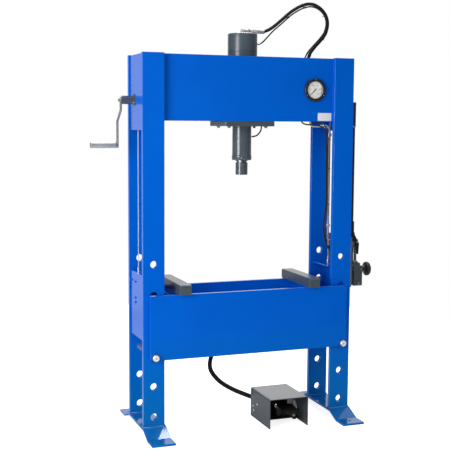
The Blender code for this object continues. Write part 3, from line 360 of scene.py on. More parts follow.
chromeRod = makeMetal("chromeRod", {
    "colour": (0.80, 0.80, 0.80), "deep": (0.74, 0.74, 0.75), "bright": (0.92, 0.92, 0.92), "rough": 0.10,
    "streak": (30, 30, 1200), "grainScale": 800, "cloudScale": 30, "rub": 0.2, "bump": 0.02,
})
armSteel = makeMetal("armSteel", {
    "colour": (0.36, 0.37, 0.37), "deep": (0.28, 0.29, 0.29), "bright": (0.70, 0.70, 0.70), "rough": 0.36,
    "streak": (200, 200, 60), "grainScale": 500, "cloudScale": 30, "rub": 0.6, "bump": 0.06,
})
blackPlastic = makeSoft("blackPlastic", {
    "colour": (0.017, 0.017, 0.019), "deep": (0.024, 0.024, 0.026), "rough": 0.42, "gloss": 0.5, "dust": 0.05,
    "grainScale": 700, "cloudScale": 14, "bump": 0.12,
})
hoseRubber = makeSoft("hoseRubber", {
    "colour": (0.018, 0.0175, 0.017), "deep": (0.026, 0.025, 0.024), "rough": 0.62, "gloss": 0.18,
    "dust": 0.06,
    "grainScale": 850, "cloudScale": 18, "bump": 0.18,
})
tieNylon = makeSoft("tieNylon", {
    "colour": (0.012, 0.012, 0.013), "deep": (0.018, 0.018, 0.019), "rough": 0.38, "gloss": 0.5, "dust": 0.0,
    "grainScale": 900, "cloudScale": 30, "bump": 0.08,
})
padRubber = makeSoft("padRubber", {
    "colour": (0.008, 0.008, 0.008), "deep": (0.014, 0.014, 0.014), "rough": 0.72, "gloss": 0.2, "dust": 0.06,
    "grainScale": 500, "cloudScale": 20, "bump": 0.25,
})
gaugeGlassLook = {
    "colour": (0.98, 0.99, 0.99, 1.0), "alpha": 0.10, "ior": 1.45, "fine": 200, "clouds": 18,
    "smear": (0.4, 0.8), "rough": (0.02, 0.07),
}


def makeGlass():
    look = gaugeGlassLook
    mat, tree, shader = startMaterial("gaugeGlass")
    skin = useGroup(tree, skinGrain, Fine_Scale=look["fine"], Cloud_Scale=look["clouds"])
    rough = remap(tree, skin.outputs["Clouds"], *look["smear"], *look["rough"])
    tree.links.new(rough, shader.inputs["Roughness"])
    shader.inputs["Base Color"].default_value = look["colour"]
    shader.inputs["Alpha"].default_value = look["alpha"]
    shader.inputs["IOR"].default_value = look["ior"]
    return mat


gaugeGlass = makeGlass()
print("materials made:", len(bpy.data.materials))


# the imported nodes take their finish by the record's slot, or have one of their own

slotLooks = {
    "blue_paint": bluePaint, "grey_paint": greyPaint, "zinc_plate": zincPlate, "bare_steel": bareSteel,
    "chrome_rod": chromeRod, "black_plastic": blackPlastic, "white_card": dialCard, "clear_glass": gaugeGlass,
    "hose_rubber": hoseRubber,
}
ownLooks = {
    "press_bar_left": barWearAndEdgeHighlight, "press_bar_right": barWearAndEdgeHighlight, "cylinder_plate": barWearAndEdgeHighlight,
    "lever_fork": blackPaint, "lever_tube": blackPaint, "gauge_case": blackPaint, "gauge_needle": dialInk,
    "pedal_guard": hoodPaint, "pedal_tread": padRubber, "pedal_valve": blackPaint,
    "crank_arm": armSteel, "rope_cross": ropeCoat, "ram_rod": armSteel,
}
nodeSharp = math.radians(32)
for row in frame["record"]["subparts"]:
    node = nodes[row["node"]]
    look = ownLooks.get(row["node"], slotLooks[row["material_slot"]])
    node.data.materials.clear()
    node.data.materials.append(look)
    node.data.shade_smooth()
    node.data.set_sharp_from_angle(angle=nodeSharp)
print("packed nodes painted")


# small mesh tools

axisX, axisY, axisZ = Vector((1, 0, 0)), Vector((0, 1, 0)), Vector((0, 0, 1))
bead = {
    "pitch": 0.0042, "sides": 8, "ripple": 0.10, "jitter": 0.05, "jitterTurn": 17.3, "endSize": 0.35,
    "endGrow": 10,
}


def at(x, y, z):
    return Vector((x + midX, y, z))  # from the press's middle to the shared frame


def along(spot, direction):
    turn = Vector(direction).normalized().to_track_quat("Z", "Y").to_matrix().to_4x4()
    return Matrix.Translation(spot) @ turn


def addInto(bm, part, matrix):
    part.transform(matrix)
    data = bpy.data.meshes.new("part")
    part.to_mesh(data)
    part.free()
    bm.from_mesh(data)
    bpy.data.meshes.remove(data)


def addRing(bm, middle, sideA, sideB, radius, count):
    turns = [2 * math.pi * i / count for i in range(count)]
    return [bm.verts.new(middle + (sideA * math.cos(a) + sideB * math.sin(a)) * radius) for a in turns]


def skinRows(bm, rows, capped=True):
    count = len(rows[0])
    for low, high in zip(rows, rows[1:]):
        for i in range(count):
            bm.faces.new((low[i], low[(i + 1) % count], high[(i + 1) % count], high[i]))
    if capped:
        bm.faces.new(list(reversed(rows[0])))
        bm.faces.new(rows[-1])


def addLathe(bm, profile, spot, direction, steps=40, flutes=0, fluteDepth=0.0, fluteFrom=0.0):
    part = bmesh.new()
    verts = [part.verts.new((r, 0, h)) for r, h in profile]
    edges = [part.edges.new(pair) for pair in zip(verts, verts[1:])]
    bmesh.ops.spin(part, geom=verts + edges, cent=(0, 0, 0), axis=axisZ, angle=2 * math.pi,
                   steps=steps, use_merge=True)
    bmesh.ops.remove_doubles(part, verts=part.verts, dist=1e-6)
    bmesh.ops.recalc_face_normals(part, faces=part.faces)
    if flutes:
        for v in part.verts:
            r = math.hypot(v.co.x, v.co.y)
            if r > fluteFrom:
                dip = 0.5 + 0.5 * math.cos(flutes * math.atan2(v.co.y, v.co.x))
                keep = (r - fluteDepth * dip ** 2) / r
                v.co.x *= keep
                v.co.y *= keep
    addInto(bm, part, along(spot, direction))


def grooved(radius, groove, heights):
    depth, half, flat = groove  # half widths at the top and the bottom
    rows = []
    for h in heights:
        rows += [(radius, h - half), (radius - depth, h - flat)]
        rows += [(radius - depth, h + flat), (radius, h + half)]
    return rows


def addHex(bm, spot, direction, width, height, bore=0.0, spin=0.0):
    part = bmesh.new()
    radius = width / math.sqrt(3)
    bmesh.ops.create_cone(part, cap_ends=True, segments=6, radius1=radius, radius2=radius, depth=height)
    bmesh.ops.translate(part, verts=part.verts, vec=axisZ * height / 2)
    top = [e for e in part.edges if all(v.co.z > height * 0.9 for v in e.verts)]
    bmesh.ops.bevel(part, geom=top, offset=radius * 0.12, segments=2, affect="EDGES", profile=0.7)
    corners = [e for e in part.edges if abs(e.verts[0].co.z - e.verts[1].co.z) > height * 0.5]
    bmesh.ops.bevel(part, geom=corners, offset=radius * 0.05, segments=1, affect="EDGES")
    if bore:  # the end of the stud, a little proud of the nut
        stud = bmesh.new()
        bmesh.ops.create_cone(stud, cap_ends=True, segments=20, radius1=bore, radius2=bore * 1.25,
                              depth=height * 0.3)
        bmesh.ops.translate(stud, verts=stud.verts, vec=axisZ * height * 0.91)
        addInto(part, stud, Matrix.Identity(4))
    addInto(bm, part, along(spot, direction) @ Matrix.Rotation(spin, 4, "Z"))


def addBolt(bm, spot, direction, width, spin=0.3):
    w, washer = width, width * 0.12
    ring = [(w * 0.2, 0.0), (w * 0.92, 0.0), (w * 0.95, w * 0.05), (w * 0.92, washer), (w * 0.2, washer)]
    addLathe(bm, ring, spot, direction, 28)
    addHex(bm, Vector(spot) + Vector(direction).normalized() * washer, direction, w, w * 0.55, spin=spin)


def addSocketScrew(bm, spot, direction, r):
    head = [(0.0, r * 0.35), (r * 0.45, r * 0.35), (r * 0.52, r * 0.95), (r * 0.62, r * 1.1),
            (r * 0.85, r * 1.1), (r, r * 0.9), (r, 0.0), (0.0, 0.0)]
    addLathe(bm, head, spot, direction, 24)


def addScrewCircle(bm, ring):
    for angle in ring["angles"]:
        a = math.radians(angle)
        out = ring["across"][0] * math.cos(a) + ring["across"][1] * math.sin(a)
        addSocketScrew(bm, at(*ring["spot"]) + out * ring["circle"], ring.get("way", out), ring["radius"])


def addBead(bm, start, end, radius):
    length = (end - start).length
    ripples = length / bead["pitch"]
    rings = max(6, int(ripples * 3))
    part = bmesh.new()
    rows = []
    for k in range(rings + 1):
        t = k / rings
        taper = min(1.0, bead["endSize"] + bead["endGrow"] * min(t, 1 - t))
        wave = bead["ripple"] * math.sin(2 * math.pi * t * ripples)
        wave += bead["jitter"] * math.sin(bead["jitterTurn"] * t * ripples)
        reach = radius * taper * (1 + wave)
        rows.append(addRing(part, axisZ * t * length, axisX, axisY, reach, bead["sides"]))
    skinRows(part, rows)
    addInto(bm, part, along(start, end - start))


def addSlab(bm, low, high, bevel=0.001, segments=2):
    part = bmesh.new()
    bmesh.ops.create_cube(part, size=1.0)
    for v in part.verts:
        v.co = Vector([low[i] if v.co[i] < 0 else high[i] for i in range(3)])
    bmesh.ops.bevel(part, geom=list(part.edges), offset=bevel, segments=segments, affect="EDGES", profile=0.7)
    addInto(bm, part, Matrix.Identity(4))


def addBlock(bm, size, bevel, segments, matrix):
    part = bmesh.new()
    bmesh.ops.create_cube(part, size=1.0)
    bmesh.ops.scale(part, vec=size, verts=part.verts)
    bmesh.ops.bevel(part, geom=list(part.edges), offset=bevel, segments=segments, affect="EDGES")
    addInto(bm, part, matrix)


def piece(name, bm, look, body, sharp=35, node=None):
    data = bpy.data.meshes.new(name)
    bm.to_mesh(data)
    bm.free()
    data.materials.append(look)
    data.shade_smooth()
    data.set_sharp_from_angle(angle=math.radians(sharp))
    obj = bpy.data.objects.new(name, data)
    scene.collection.objects.link(obj)
    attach(obj, body)
    if node:
        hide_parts(node)
    return obj


def turnedPiece(name, turnings, look, body, sharp=35, node=None):
    bm = bmesh.new()
    for profile, spot, direction, steps in turnings:
        addLathe(bm, profile, at(*spot), direction, steps)
    return piece(name, bm, look, body, sharp, node)


curveSteps = 24  # between two points of a route


def smoothPath(points, step):
    full = [points[0]] + list(points) + [points[-1]]
    fine = []
    for p0, p1, p2, p3 in zip(full, full[1:], full[2:], full[3:]):
        for s in range(curveSteps):
            t = s / curveSteps
            spot = []
            for a, b, c, d in zip(p0, p1, p2, p3):
                near = 2 * b + (c - a) * t
                far = (2 * a - 5 * b + 4 * c - d) * t * t + (3 * b - a - 3 * c + d) * t * t * t
                spot.append((near + far) / 2)
            fine.append(Vector(spot))
    fine.append(Vector(points[-1]))
    total = [0.0]
    for a, b in zip(fine, fine[1:]):
        total.append(total[-1] + (b - a).length)
    count = max(2, round(total[-1] / step))
    even, k = [fine[0]], 0
    for n in range(1, count):
        want = total[-1] * n / count
        while total[k + 1] < want:
            k += 1
        even.append(fine[k].lerp(fine[k + 1], (want - total[k]) / (total[k + 1] - total[k])))
    return even + [fine[-1]]


# camera at the photograph's place

view = {"place": (-1.9194, -5.0103, 1.6738), "turn": 20.258, "down": 5.960, "roll": 0.342, "lens": 76.72,
        "sensor": 36.0, "far": 200}


def makeCamera():
    a, p, r = (math.radians(view[k]) for k in ("turn", "down", "roll"))
    ahead = Vector((math.sin(a) * math.cos(p), math.cos(a) * math.cos(p), -math.sin(p)))
    right = Vector((math.cos(a), -math.sin(a), 0))
    up = right.cross(ahead)
    across = right * math.cos(r) + up * math.sin(r)
    upward = up * math.cos(r) - right * math.sin(r)
    data = bpy.data.cameras.new("photoCamera")
    data.lens = view["lens"]
    data.sensor_width = view["sensor"]
    data.clip_end = view["far"]
    camera = bpy.data.objects.new("photoCamera", data)
    scene.collection.objects.link(camera)
    camera.matrix_world = Matrix((
        (across.x, upward.x, -ahead.x, view["place"][0]),
        (across.y, upward.y, -ahead.y, view["place"][1]),
        (across.z, upward.z, -ahead.z, view["place"][2]),
        (0, 0, 0, 1),
    ))
    scene.camera = camera


makeCamera()


# hoses along the routes of the CAD tubes

pressureHose = {
    "radius": 0.0095, "step": 0.010, "bulk": 0.965, "stiffness": "stiff", "lay": "loose",
    "points": [
        (0.0885, 0.0, 2.1896), (0.115, 0.0, 2.1906), (0.146, -0.001, 2.1976), (0.184, -0.002, 2.220),
        (0.237, -0.004, 2.263), (0.289, -0.009, 2.307), (0.342, -0.012, 2.338), (0.385, -0.015, 2.352),
        (0.428, -0.017, 2.349), (0.472, -0.018, 2.324), (0.499, -0.023, 2.285), (0.506, -0.026, 2.240),
        (0.491, -0.031, 2.190), (0.462, -0.034, 2.153), (0.421, -0.039, 2.112), (0.388, -0.044, 2.070),
        (0.374, -0.048, 2.020), (0.371, -0.0519, 1.975), (0.371, -0.0519, 1.9233),
    ],
}
returnHose = {
    "radius": 0.0042, "step": 0.010, "bulk": 0.965, "stiffness": "medium", "lay": "loose",
    "points": [
        (0.0793, -0.030, 2.117), (0.105, -0.030, 2.128), (0.136, -0.026, 2.157), (0.176, -0.021, 2.196),
        (0.232, -0.022, 2.243), (0.284, -0.027, 2.288), (0.338, -0.030, 2.320), (0.384, -0.033, 2.335),
        (0.424, -0.035, 2.332), (0.460, -0.036, 2.312), (0.482, -0.041, 2.280), (0.488, -0.044, 2.240),
        (0.474, -0.049, 2.196), (0.446, -0.052, 2.160), (0.404, -0.056, 2.118), (0.364, -0.060, 2.072),
        (0.338, -0.058, 2.000), (0.333, -0.056, 1.900), (0.331, -0.055, 1.780), (0.332, -0.056, 1.715),
        (0.346, -0.066, 1.684), (0.389, -0.087, 1.676), (0.430, -0.101, 1.672), (0.457, -0.110, 1.648),
        (0.469, -0.107, 1.600), (0.474, -0.105, 1.520), (0.474, -0.105, 1.423), (0.476, -0.105, 1.223),
        (0.464, -0.104, 1.138), (0.462, -0.104, 1.092), (0.472, -0.105, 1.036), (0.484, -0.105, 0.998),
        (0.512, -0.105, 0.978), (0.560, -0.104, 0.972), (0.613, -0.102, 0.972),
    ],
}
jumperHose = {
    "radius": 0.0035, "step": 0.004, "bulk": 1.15, "stiffness": "medium", "lay": "loose",
    "points": [
        (0.0503, -0.024, 1.610), (0.060, -0.026, 1.6105), (0.079, -0.031, 1.617), (0.093, -0.037, 1.634),
        (0.099, -0.041, 1.650), (0.101, -0.042, 1.6661),
    ],
}
supplyHose = {
    "radius": 0.0035, "step": 0.008, "bulk": 0.965, "stiffness": "medium", "lay": "loose",
    "points": [
        (0.369, -0.0519, 1.8387), (0.369, -0.0519, 1.810), (0.362, -0.060, 1.760), (0.366, -0.086, 1.706),
        (0.400, -0.094, 1.692), (0.440, -0.108, 1.688), (0.466, -0.119, 1.655), (0.4735, -0.119, 1.595),
        (0.475, -0.118, 1.520), (0.4755, -0.118, 1.423), (0.4775, -0.118, 1.223), (0.468, -0.117, 1.138),
        (0.466, -0.117, 1.092), (0.476, -0.118, 1.020), (0.490, -0.118, 0.976), (0.516, -0.118, 0.953),
        (0.560, -0.118, 0.947), (0.613, -0.117, 0.946),
    ],
}
pedalPair = {
    "radius": 0.006, "step": 0.013, "apart": 0.0006, "bulk": 1.10, "stiffness": "medium", "lay": "loose",
    "points": [
        (0.703, -0.0147, 0.790), (0.703, 0.060, 0.788), (0.693, 0.140, 0.768), (0.650, 0.212, 0.716),
        (0.560, 0.236, 0.650), (0.420, 0.240, 0.570), (0.250, 0.240, 0.505), (0.090, 0.238, 0.452),
        (-0.020, 0.232, 0.402), (-0.080, 0.222, 0.346), (-0.106, 0.214, 0.290), (-0.107, 0.206, 0.243),
        (-0.087, 0.190, 0.204), (-0.049, 0.168, 0.164), (0.009, 0.134, 0.129), (0.062, 0.100, 0.107),
        (0.120, 0.080, 0.084), (0.191, 0.062, 0.058), (0.221, 0.026, 0.042), (0.225, -0.0297, 0.040),
    ],
}


ferrule = {"long": 4.2, "bore": 1.02, "body": 1.22, "ridge": 1.04, "groove": 0.96, "grooves": 5, "steps": 24}


def layHose(name, node, path, hose, ferrules):
    data = bpy.data.curves.new(name, "CURVE")
    data.dimensions = "3D"
    data.bevel_depth = hose["radius"] * hose["bulk"]
    data.bevel_resolution = 6
    data.use_fill_caps = True
    spline = data.splines.new("POLY")
    spline.points.add(len(path) - 1)
    for p, spot in zip(spline.points, path):
        p.co = (*spot, 1.0)
    spline.use_smooth = True
    data.materials.append(hoseRubber)
    obj = bpy.data.objects.new(name, data)
    scene.collection.objects.link(obj)
    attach(obj, "frame")
    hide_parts(node)


def ferrulesFor(name, path, hose, ends=(True, True), length=None, look=zincPlate):
    long = length or hose["radius"] * ferrule["long"]
    bore, body = hose["radius"] * ferrule["bore"], hose["radius"] * ferrule["body"]
    ridge, groove = body * ferrule["ridge"], body * ferrule["groove"]
    crimp = [(bore, 0.0), (body, 0.0), (ridge, long * 0.06)]
    for k in range(ferrule["grooves"]):
        h = long * (0.12 + 0.15 * k)
        crimp += [(ridge, h), (groove, h + long * 0.02), (groove, h + long * 0.07), (ridge, h + long * 0.09)]
    crimp += [(ridge, long * 0.96), (body, long), (bore, long)]
    bm = bmesh.new()
    if ends[0]:
        addLathe(bm, crimp, path[0], path[1] - path[0], ferrule["steps"])
    if ends[1]:
        addLathe(bm, crimp, path[-1], path[-2] - path[-1], ferrule["steps"])
    return piece(name, bm, look, "frame")


def hosePath(hose):
    return smoothPath([at(*p) for p in hose["points"]], hose["step"])


def pairPath(middle, side, hose):
    path, last = [], len(middle) - 1
    for k, spot in enumerate(middle):
        run = (middle[min(k + 1, last)] - middle[max(k - 1, 0)]).normalized()
        acrossX, acrossZ = -run.z, run.x
        lost = 1 - math.hypot(acrossX, acrossZ)
        acrossZ += lost if k > last / 2 else -lost
        shift = side * (hose["radius"] + hose["apart"]) / math.hypot(acrossX, acrossZ)
        path.append(Vector((spot.x + shift * acrossX, spot.y, spot.z + shift * acrossZ)))
    return path


thickPath, thinPath = hosePath(pressureHose), hosePath(returnHose)
supplyPath, jumperPath = hosePath(supplyHose), hosePath(jumperHose)
pairMiddle = hosePath(pedalPair)
upperPath, lowerPath = (pairPath(pairMiddle, side, pedalPair) for side in (1, -1))

layHose("pressureHose", "pressure_hose", thickPath, pressureHose,
        [ferrulesFor("pressureHoseFerrules", thickPath, pressureHose, (True, False))])
layHose("returnHose", "return_hose", thinPath, returnHose,
        [ferrulesFor("returnHoseFerrules", thinPath, returnHose)])
layHose("supplyHose", "supply_hose", supplyPath, supplyHose,
        [ferrulesFor("supplyHoseFerrules", supplyPath, supplyHose)])
layHose("jumperHose", "jumper_hose", jumperPath, jumperHose,
        [ferrulesFor("jumperHoseFerrules", jumperPath, jumperHose, length=0.011, look=blackPaint)])
layHose("pedalHoseUpper", "pedal_hose_upper", upperPath, pedalPair, [])
layHose("pedalHoseLower", "pedal_hose_lower", lowerPath, pedalPair, [])


# cable ties that hold hoses and pipe together

riser = {"x": 0.492, "y": -0.1045, "radius": 0.0065}
ties = {
    "width": 0.0045, "thick": 0.0011, "clear": 0.0002, "steps": 48,
    "lock": (0.0042, 0.0066, 0.0062), "lockLift": 0.0022, "tail": (0.0010, 0.016, 0.0034), "tailDrop": 0.0105,
    "loop": [(0.2607, 2.2816), (0.3639, 2.3423), (0.4753, 2.2883), (0.4637, 2.1687), (0.3707, 2.076)],
    "loopPoints": 110,  # leaves out the thin hose's run down the column
    "column": [1.598, 1.430, 1.228], "columnFrom": 0.45, "columnBelow": 1.65,
    "pair": [0.35, 0.55, 0.72],  # shares of the pedal hoses' length
}


def nearest(path, test):
    k = min(range(1, len(path) - 1), key=lambda i: test(path[i]))
    return path[k], (path[k + 1] - path[k - 1]).normalized()


def addTie(bm, circles, run):
    sideA = (axisY - run * run.y).normalized()  # the lock sits behind
    sideB = run.cross(sideA)
    if sideB.z > 0:
        sideB = -sideB  # the tail hangs down
    middle = circles[0][0]
    rows = []
    for k in range(ties["steps"]):
        a = 2 * math.pi * k / ties["steps"]
        out = sideA * math.cos(a) + sideB * math.sin(a)
        spot, r = max(circles, key=lambda c: (c[0] - middle).dot(out) + c[1])
        base = spot - run * (spot - middle).dot(run)
        inner, outer, half = out * (r + ties["clear"]), out * (r + ties["thick"]), run * ties["width"] / 2
        corners = (inner - half, inner + half, outer + half, outer - half)
        rows.append([bm.verts.new(base + v) for v in corners])
    skinRows(bm, rows + rows[:1], False)
    lockSpot = middle + sideA * (circles[0][1] + ties["lockLift"])
    turn = Matrix((sideA, sideB, sideA.cross(sideB))).transposed().to_4x4()
    addBlock(bm, ties["lock"], 0.0007, 2, Matrix.Translation(lockSpot) @ turn)
    addBlock(bm, ties["tail"], 0.0003, 1, Matrix.Translation(lockSpot + sideB * ties["tailDrop"]) @ turn)


def makeTies():
    thickRadius, thinRadius = pressureHose["radius"], returnHose["radius"]
    bm = bmesh.new()
    for x, z in ties["loop"]:
        thick, run = nearest(thickPath, lambda p: math.hypot(p.x - midX - x, p.z - z))
        thin, _ = nearest(thinPath[:ties["loopPoints"]], lambda p: (p - thick).length)
        addTie(bm, [(thick, thickRadius), (thin, thinRadius)], run)
    columnRun = [p for p in thinPath if p.x - midX > ties["columnFrom"] and p.z < ties["columnBelow"]]
    for z in ties["column"]:
        thin, _ = nearest(columnRun, lambda p: abs(p.z - z))
        supply, _ = nearest(supplyPath, lambda p: abs(p.z - z))
        pipe = at(riser["x"], riser["y"], z)
        addTie(bm, [(pipe, riser["radius"]), (thin, thinRadius), (supply, supplyHose["radius"])], axisZ)
    for share in ties["pair"]:
        k = int(share * len(upperPath))
        run = (upperPath[k + 1] - upperPath[k - 1]).normalized()
        addTie(bm, [(upperPath[k], pedalPair["radius"]), (lowerPath[k], pedalPair["radius"])], run)
    bmesh.ops.recalc_face_normals(bm, faces=bm.faces)
    piece("cableTies", bm, tieNylon, "frame")


makeTies()
print("hoses and ties laid")


# wire ropes of six strands, with crimped anchors on the guide lips

rope = {
    "radius": 0.0025, "strands": 6, "strandShare": 0.36, "sides": 6, "lay": 0.026, "ringsPerLay": 12,
    "low": 0.8703, "lift": 0.498, "anchorLow": 0.8702,
    "left": (-0.592, 0.018), "leftTop": 1.804, "right": (0.592, 0.0915), "rightTop": 1.9477,
    "anchor": [(0.0029, 0.0), (0.0085, 0.0), (0.0085, 0.005), (0.0056, 0.006), (0.0056, 0.012),
               (0.0050, 0.013), (0.0050, 0.017), (0.0056, 0.018), (0.0056, 0.026), (0.0044, 0.028),
               (0.0029, 0.028), (0.0029, 0.0)],
}


def strandRope(name, node, place, top):
    low, strand = rope["low"], rope["radius"] * rope["strandShare"]
    spot = at(*place, 0)
    rings = int((top - low) / rope["lay"] * rope["ringsPerLay"])
    bm = bmesh.new()
    for s in range(rope["strands"] + 1):
        reach = 0.0 if s == rope["strands"] else rope["radius"] - strand  # the last strand is the core
        rows = []
        for k in range(rings + 1):
            h = low + (top - low) * k / rings
            a = 2 * math.pi * (h / rope["lay"] + s / rope["strands"])
            middle = Vector((spot.x + reach * math.cos(a), spot.y + reach * math.sin(a), h))
            rows.append(addRing(bm, middle, axisX, axisY, strand, rope["sides"]))
        skinRows(bm, rows)
    obj = piece(name, bm, ropeCoat, "frame", 80, node)
    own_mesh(obj)


strandRope("strandRopeLeft", "rope_left", rope["left"], rope["leftTop"])
strandRope("strandRopeRight", "rope_right", rope["right"], rope["rightTop"])
anchors = [(rope["anchor"], (*rope[side], rope["anchorLow"]), axisZ, 24) for side in ("left", "right")]
turnedPiece("ropeAnchors", anchors, zincPlate, "table")
print("ropes made")


# weld beads of the frame and the table

column = {"x": 0.5545, "half": 0.0595, "outer": 0.1545, "inner": 0.1295}  # of the column flats
welds = {
    "foot": {"radius": 0.0072, "z": 0.0485},
    "beam": {"radius": 0.0020, "x": [0.495], "y": 0.1295, "span": (1.697, 2.042)},
    "end": {"radius": 0.0020, "x": [0.598], "y": 0.1092, "span": (1.70, 2.04)},
    "endTop": {"radius": 0.0016, "x": 0.5985, "z": 2.0445, "span": (0.110, 0.128)},
    "table": {"radius": 0.0036, "x": [0.4325, 0.4475], "y": 0.1562, "span": (0.432, 0.752)},
}


def addUprightBeads(bm, weld, side):
    for x in weld["x"]:
        for y in (-weld["y"], weld["y"]):
            addBead(bm, *(at(side * x, y, z) for z in weld["span"]), weld["radius"])


def makeWelds():
    frameBm, beamBm, tableBm = bmesh.new(), bmesh.new(), bmesh.new()
    foot, top = welds["foot"], welds["endTop"]
    for side in (-1, 1):
        low, high = side * column["x"] - column["half"], side * column["x"] + column["half"]
        for y0, y1 in ((-column["outer"], -column["inner"]), (column["inner"], column["outer"])):
            corners = [at(x, y, foot["z"]) for x, y in ((low, y0), (high, y0), (high, y1), (low, y1))]
            for a, b in zip(corners, corners[1:] + corners[:1]):
                addBead(frameBm, a, b, foot["radius"])
        addUprightBeads(beamBm, welds["beam"], side)
        addUprightBeads(frameBm, welds["end"], side)
        for ends in ([-y for y in reversed(top["span"])], top["span"]):
            addBead(frameBm, *(at(side * top["x"], y, top["z"]) for y in ends), top["radius"])
        addUprightBeads(tableBm, welds["table"], side)
    piece("frameWelds", frameBm, weldPaint, "frame", 50)
    piece("beamWelds", beamBm, bluePaint, "frame", 50)
    piece("tableWelds", tableBm, weldPaint, "table", 50)


makeWelds()
print("welds made")


# fasteners

bolts = {
    "carrier": {"x": (-0.108, 0.108), "y": (-0.085, 0.085), "z": (1.6666,), "way": (0, 0, -1),
                "width": 0.015},
    "bracket": {"x": (0.6224,), "y": (-0.125, 0.125), "z": (0.792, 1.010), "way": (1, 0, 0), "width": 0.017},
    "guide": {"x": 0.6072, "width": 0.009,
              "yz": [(0.1026, 0.8175), (0.0275, 0.8175), (0.0288, 0.729), (0.0288, 0.704)]},
}
thirds = (90, 210, 330)
screws = {
    "bearing": {"spot": (-0.6134, 0.0455, 1.804), "circle": 0.0275, "radius": 0.0034, "angles": thirds,
                "across": (axisY, axisZ), "way": (-1, 0, 0)},
    "bezel": {"spot": (0.383, -0.1435, 1.869), "circle": 0.0575, "radius": 0.0026, "angles": thirds,
              "across": (axisX, axisZ), "way": (0, -1, 0)},
    "collar": {"spot": (0, 0, 1.4925), "circle": 0.0548, "radius": 0.0042, "angles": (-112, 8, 128),
               "across": (axisX, axisY)},
    "nose": {"spot": (0, 0, 1.4535), "circle": 0.0333, "radius": 0.0036, "angles": (-112, 68),
             "across": (axisX, axisY)},
}


def addBoltGrid(bm, grid):
    for x in grid["x"]:
        for y in grid["y"]:
            for z in grid["z"]:
                addBolt(bm, at(x, y, z), grid["way"], grid["width"])


def screwPiece(name, rings, body):
    bm = bmesh.new()
    for ring in rings:
        addScrewCircle(bm, screws[ring])
    piece(name, bm, zincPlate, body)


def makeFasteners():
    bm = bmesh.new()
    addBoltGrid(bm, bolts["carrier"])
    addBoltGrid(bm, bolts["bracket"])
    piece("carrierBolts", bm, greyPaint, "frame")
    screwPiece("frameBolts", ["bearing", "bezel"], "frame")
    bm = bmesh.new()
    for side in (-1, 1):
        for y, z in bolts["guide"]["yz"]:
            addBolt(bm, at(side * bolts["guide"]["x"], y, z), (side, 0, 0), bolts["guide"]["width"])
    piece("guideBolts", bm, bluePaint, "table")
    screwPiece("collarScrews", ["collar"], "frame")
    screwPiece("noseScrews", ["nose"], "ram")


# turned end faces of the support pins, brighter than their plated sides

pinFace = {"hole": 0.0056, "r": 0.0146, "thick": 0.0004, "end": 0.2050, "z": 0.436}


def makePinFaces():
    f = pinFace
    ring = [(f["hole"], 0), (f["hole"], f["thick"]), (f["r"], f["thick"]), (f["r"], 0), (f["hole"], 0)]
    for side, name in ((-1, "left"), (1, "right")):
        faces = [(ring, (side * column["x"], way * f["end"], f["z"]), (0, way, 0), 32) for way in (-1, 1)]
        turnedPiece("pinFaces" + name.title(), faces, whitePlate, f"pin_{name}_body")


makeFasteners()
makePinFaces()
print("fasteners made")


# cylinder head, barrel, sleeve and nose as fine turnings

turnings = {
    "cylinderHead": {
        "node": "cylinder_head", "body": "frame", "look": cylinderPaint, "low": 2.0753, "steps": 96,
        "profile": [(0.0, 0.1), (0.074, 0.1), (0.0782, 0.0986), (0.0812, 0.0962), (0.082, 0.0930),
                    (0.082, 0.0015), (0.0805, 0.0), (0.0617, 0.0), (0.0617, -0.006), (0.0, -0.006)],
    },
    "cylinderBarrel": {
        "node": "cylinder_barrel", "body": "frame", "look": cylinderPaint, "low": 1.695, "steps": 96,
        "profile": [(0.062, 0.38), (0.0805, 0.38), (0.082, 0.3785), (0.082, 0.002), (0.080, 0.0),
                    (0.062, 0.0), (0.062, 0.38)],
    },
    "guideSleeve": {
        "node": "guide_sleeve", "body": "frame", "look": greyPaint, "low": 1.4787, "steps": 96,
        "profile": [(0.0345, 0.241), (0.0535, 0.241), (0.0535, 0.0295), (0.0545, 0.0280), (0.0555, 0.0262),
                    (0.0555, 0.0052), (0.0546, 0.0028), (0.0526, 0.0008), (0.0505, 0.0), (0.0365, 0.0),
                    (0.0345, 0.002), (0.0345, 0.241)],
    },
    "ramNose": {
        "node": "ram_nose", "body": "ram", "look": greyPaint, "low": 1.3974, "steps": 80,
        "profile": [(0.0, 0.069), (0.0325, 0.069), (0.0336, 0.0684), (0.034, 0.0675), (0.034, 0.0020),
                    (0.0334, 0.0008), (0.032, 0.0), (0.0, 0.0)],
    },
}
for name, turned in turnings.items():
    turnedPiece(name, [(turned["profile"], (0, 0, turned["low"]), axisZ, turned["steps"])], turned["look"],
                turned["body"], 25, turned["node"])


# hose fitting on the head: stem, nut, crimped sleeve and foot

fitting = {
    "spot": (-0.010, 0, 2.1896), "footSpot": (0, 0, 2.1756), "steps": 32,
    "stem": [(0.0, 0.0), (0.0100, 0.0), (0.0122, 0.0010), (0.0125, 0.0025), (0.0125, 0.0215), (0.0118, 0.023),
             (0.0098, 0.024), (0.0095, 0.026), (0.0095, 0.049), (0.0, 0.049)],
    "foot": [(0.0, 0.0), (0.0100, 0.0), (0.0100, 0.0125), (0.0, 0.0125)],
    "nutFrom": 0.049, "nutWidth": 0.0228, "nutLong": 0.019,
    "crimpStart": [(0.0, 0.068), (0.0112, 0.068)],
    "crimpEnd": [(0.0115, 0.0965), (0.0109, 0.098), (0.0, 0.098)],
    "crimps": 5, "crimpFrom": 0.071, "crimpPitch": 0.005, "crest": 0.0115, "trough": 0.0108,
    "sealFrom": 0.0445,
    "seal": [(0.0102, 0.0), (0.0131, 0.0004), (0.0131, 0.0036), (0.0102, 0.004), (0.0102, 0.0)],
}


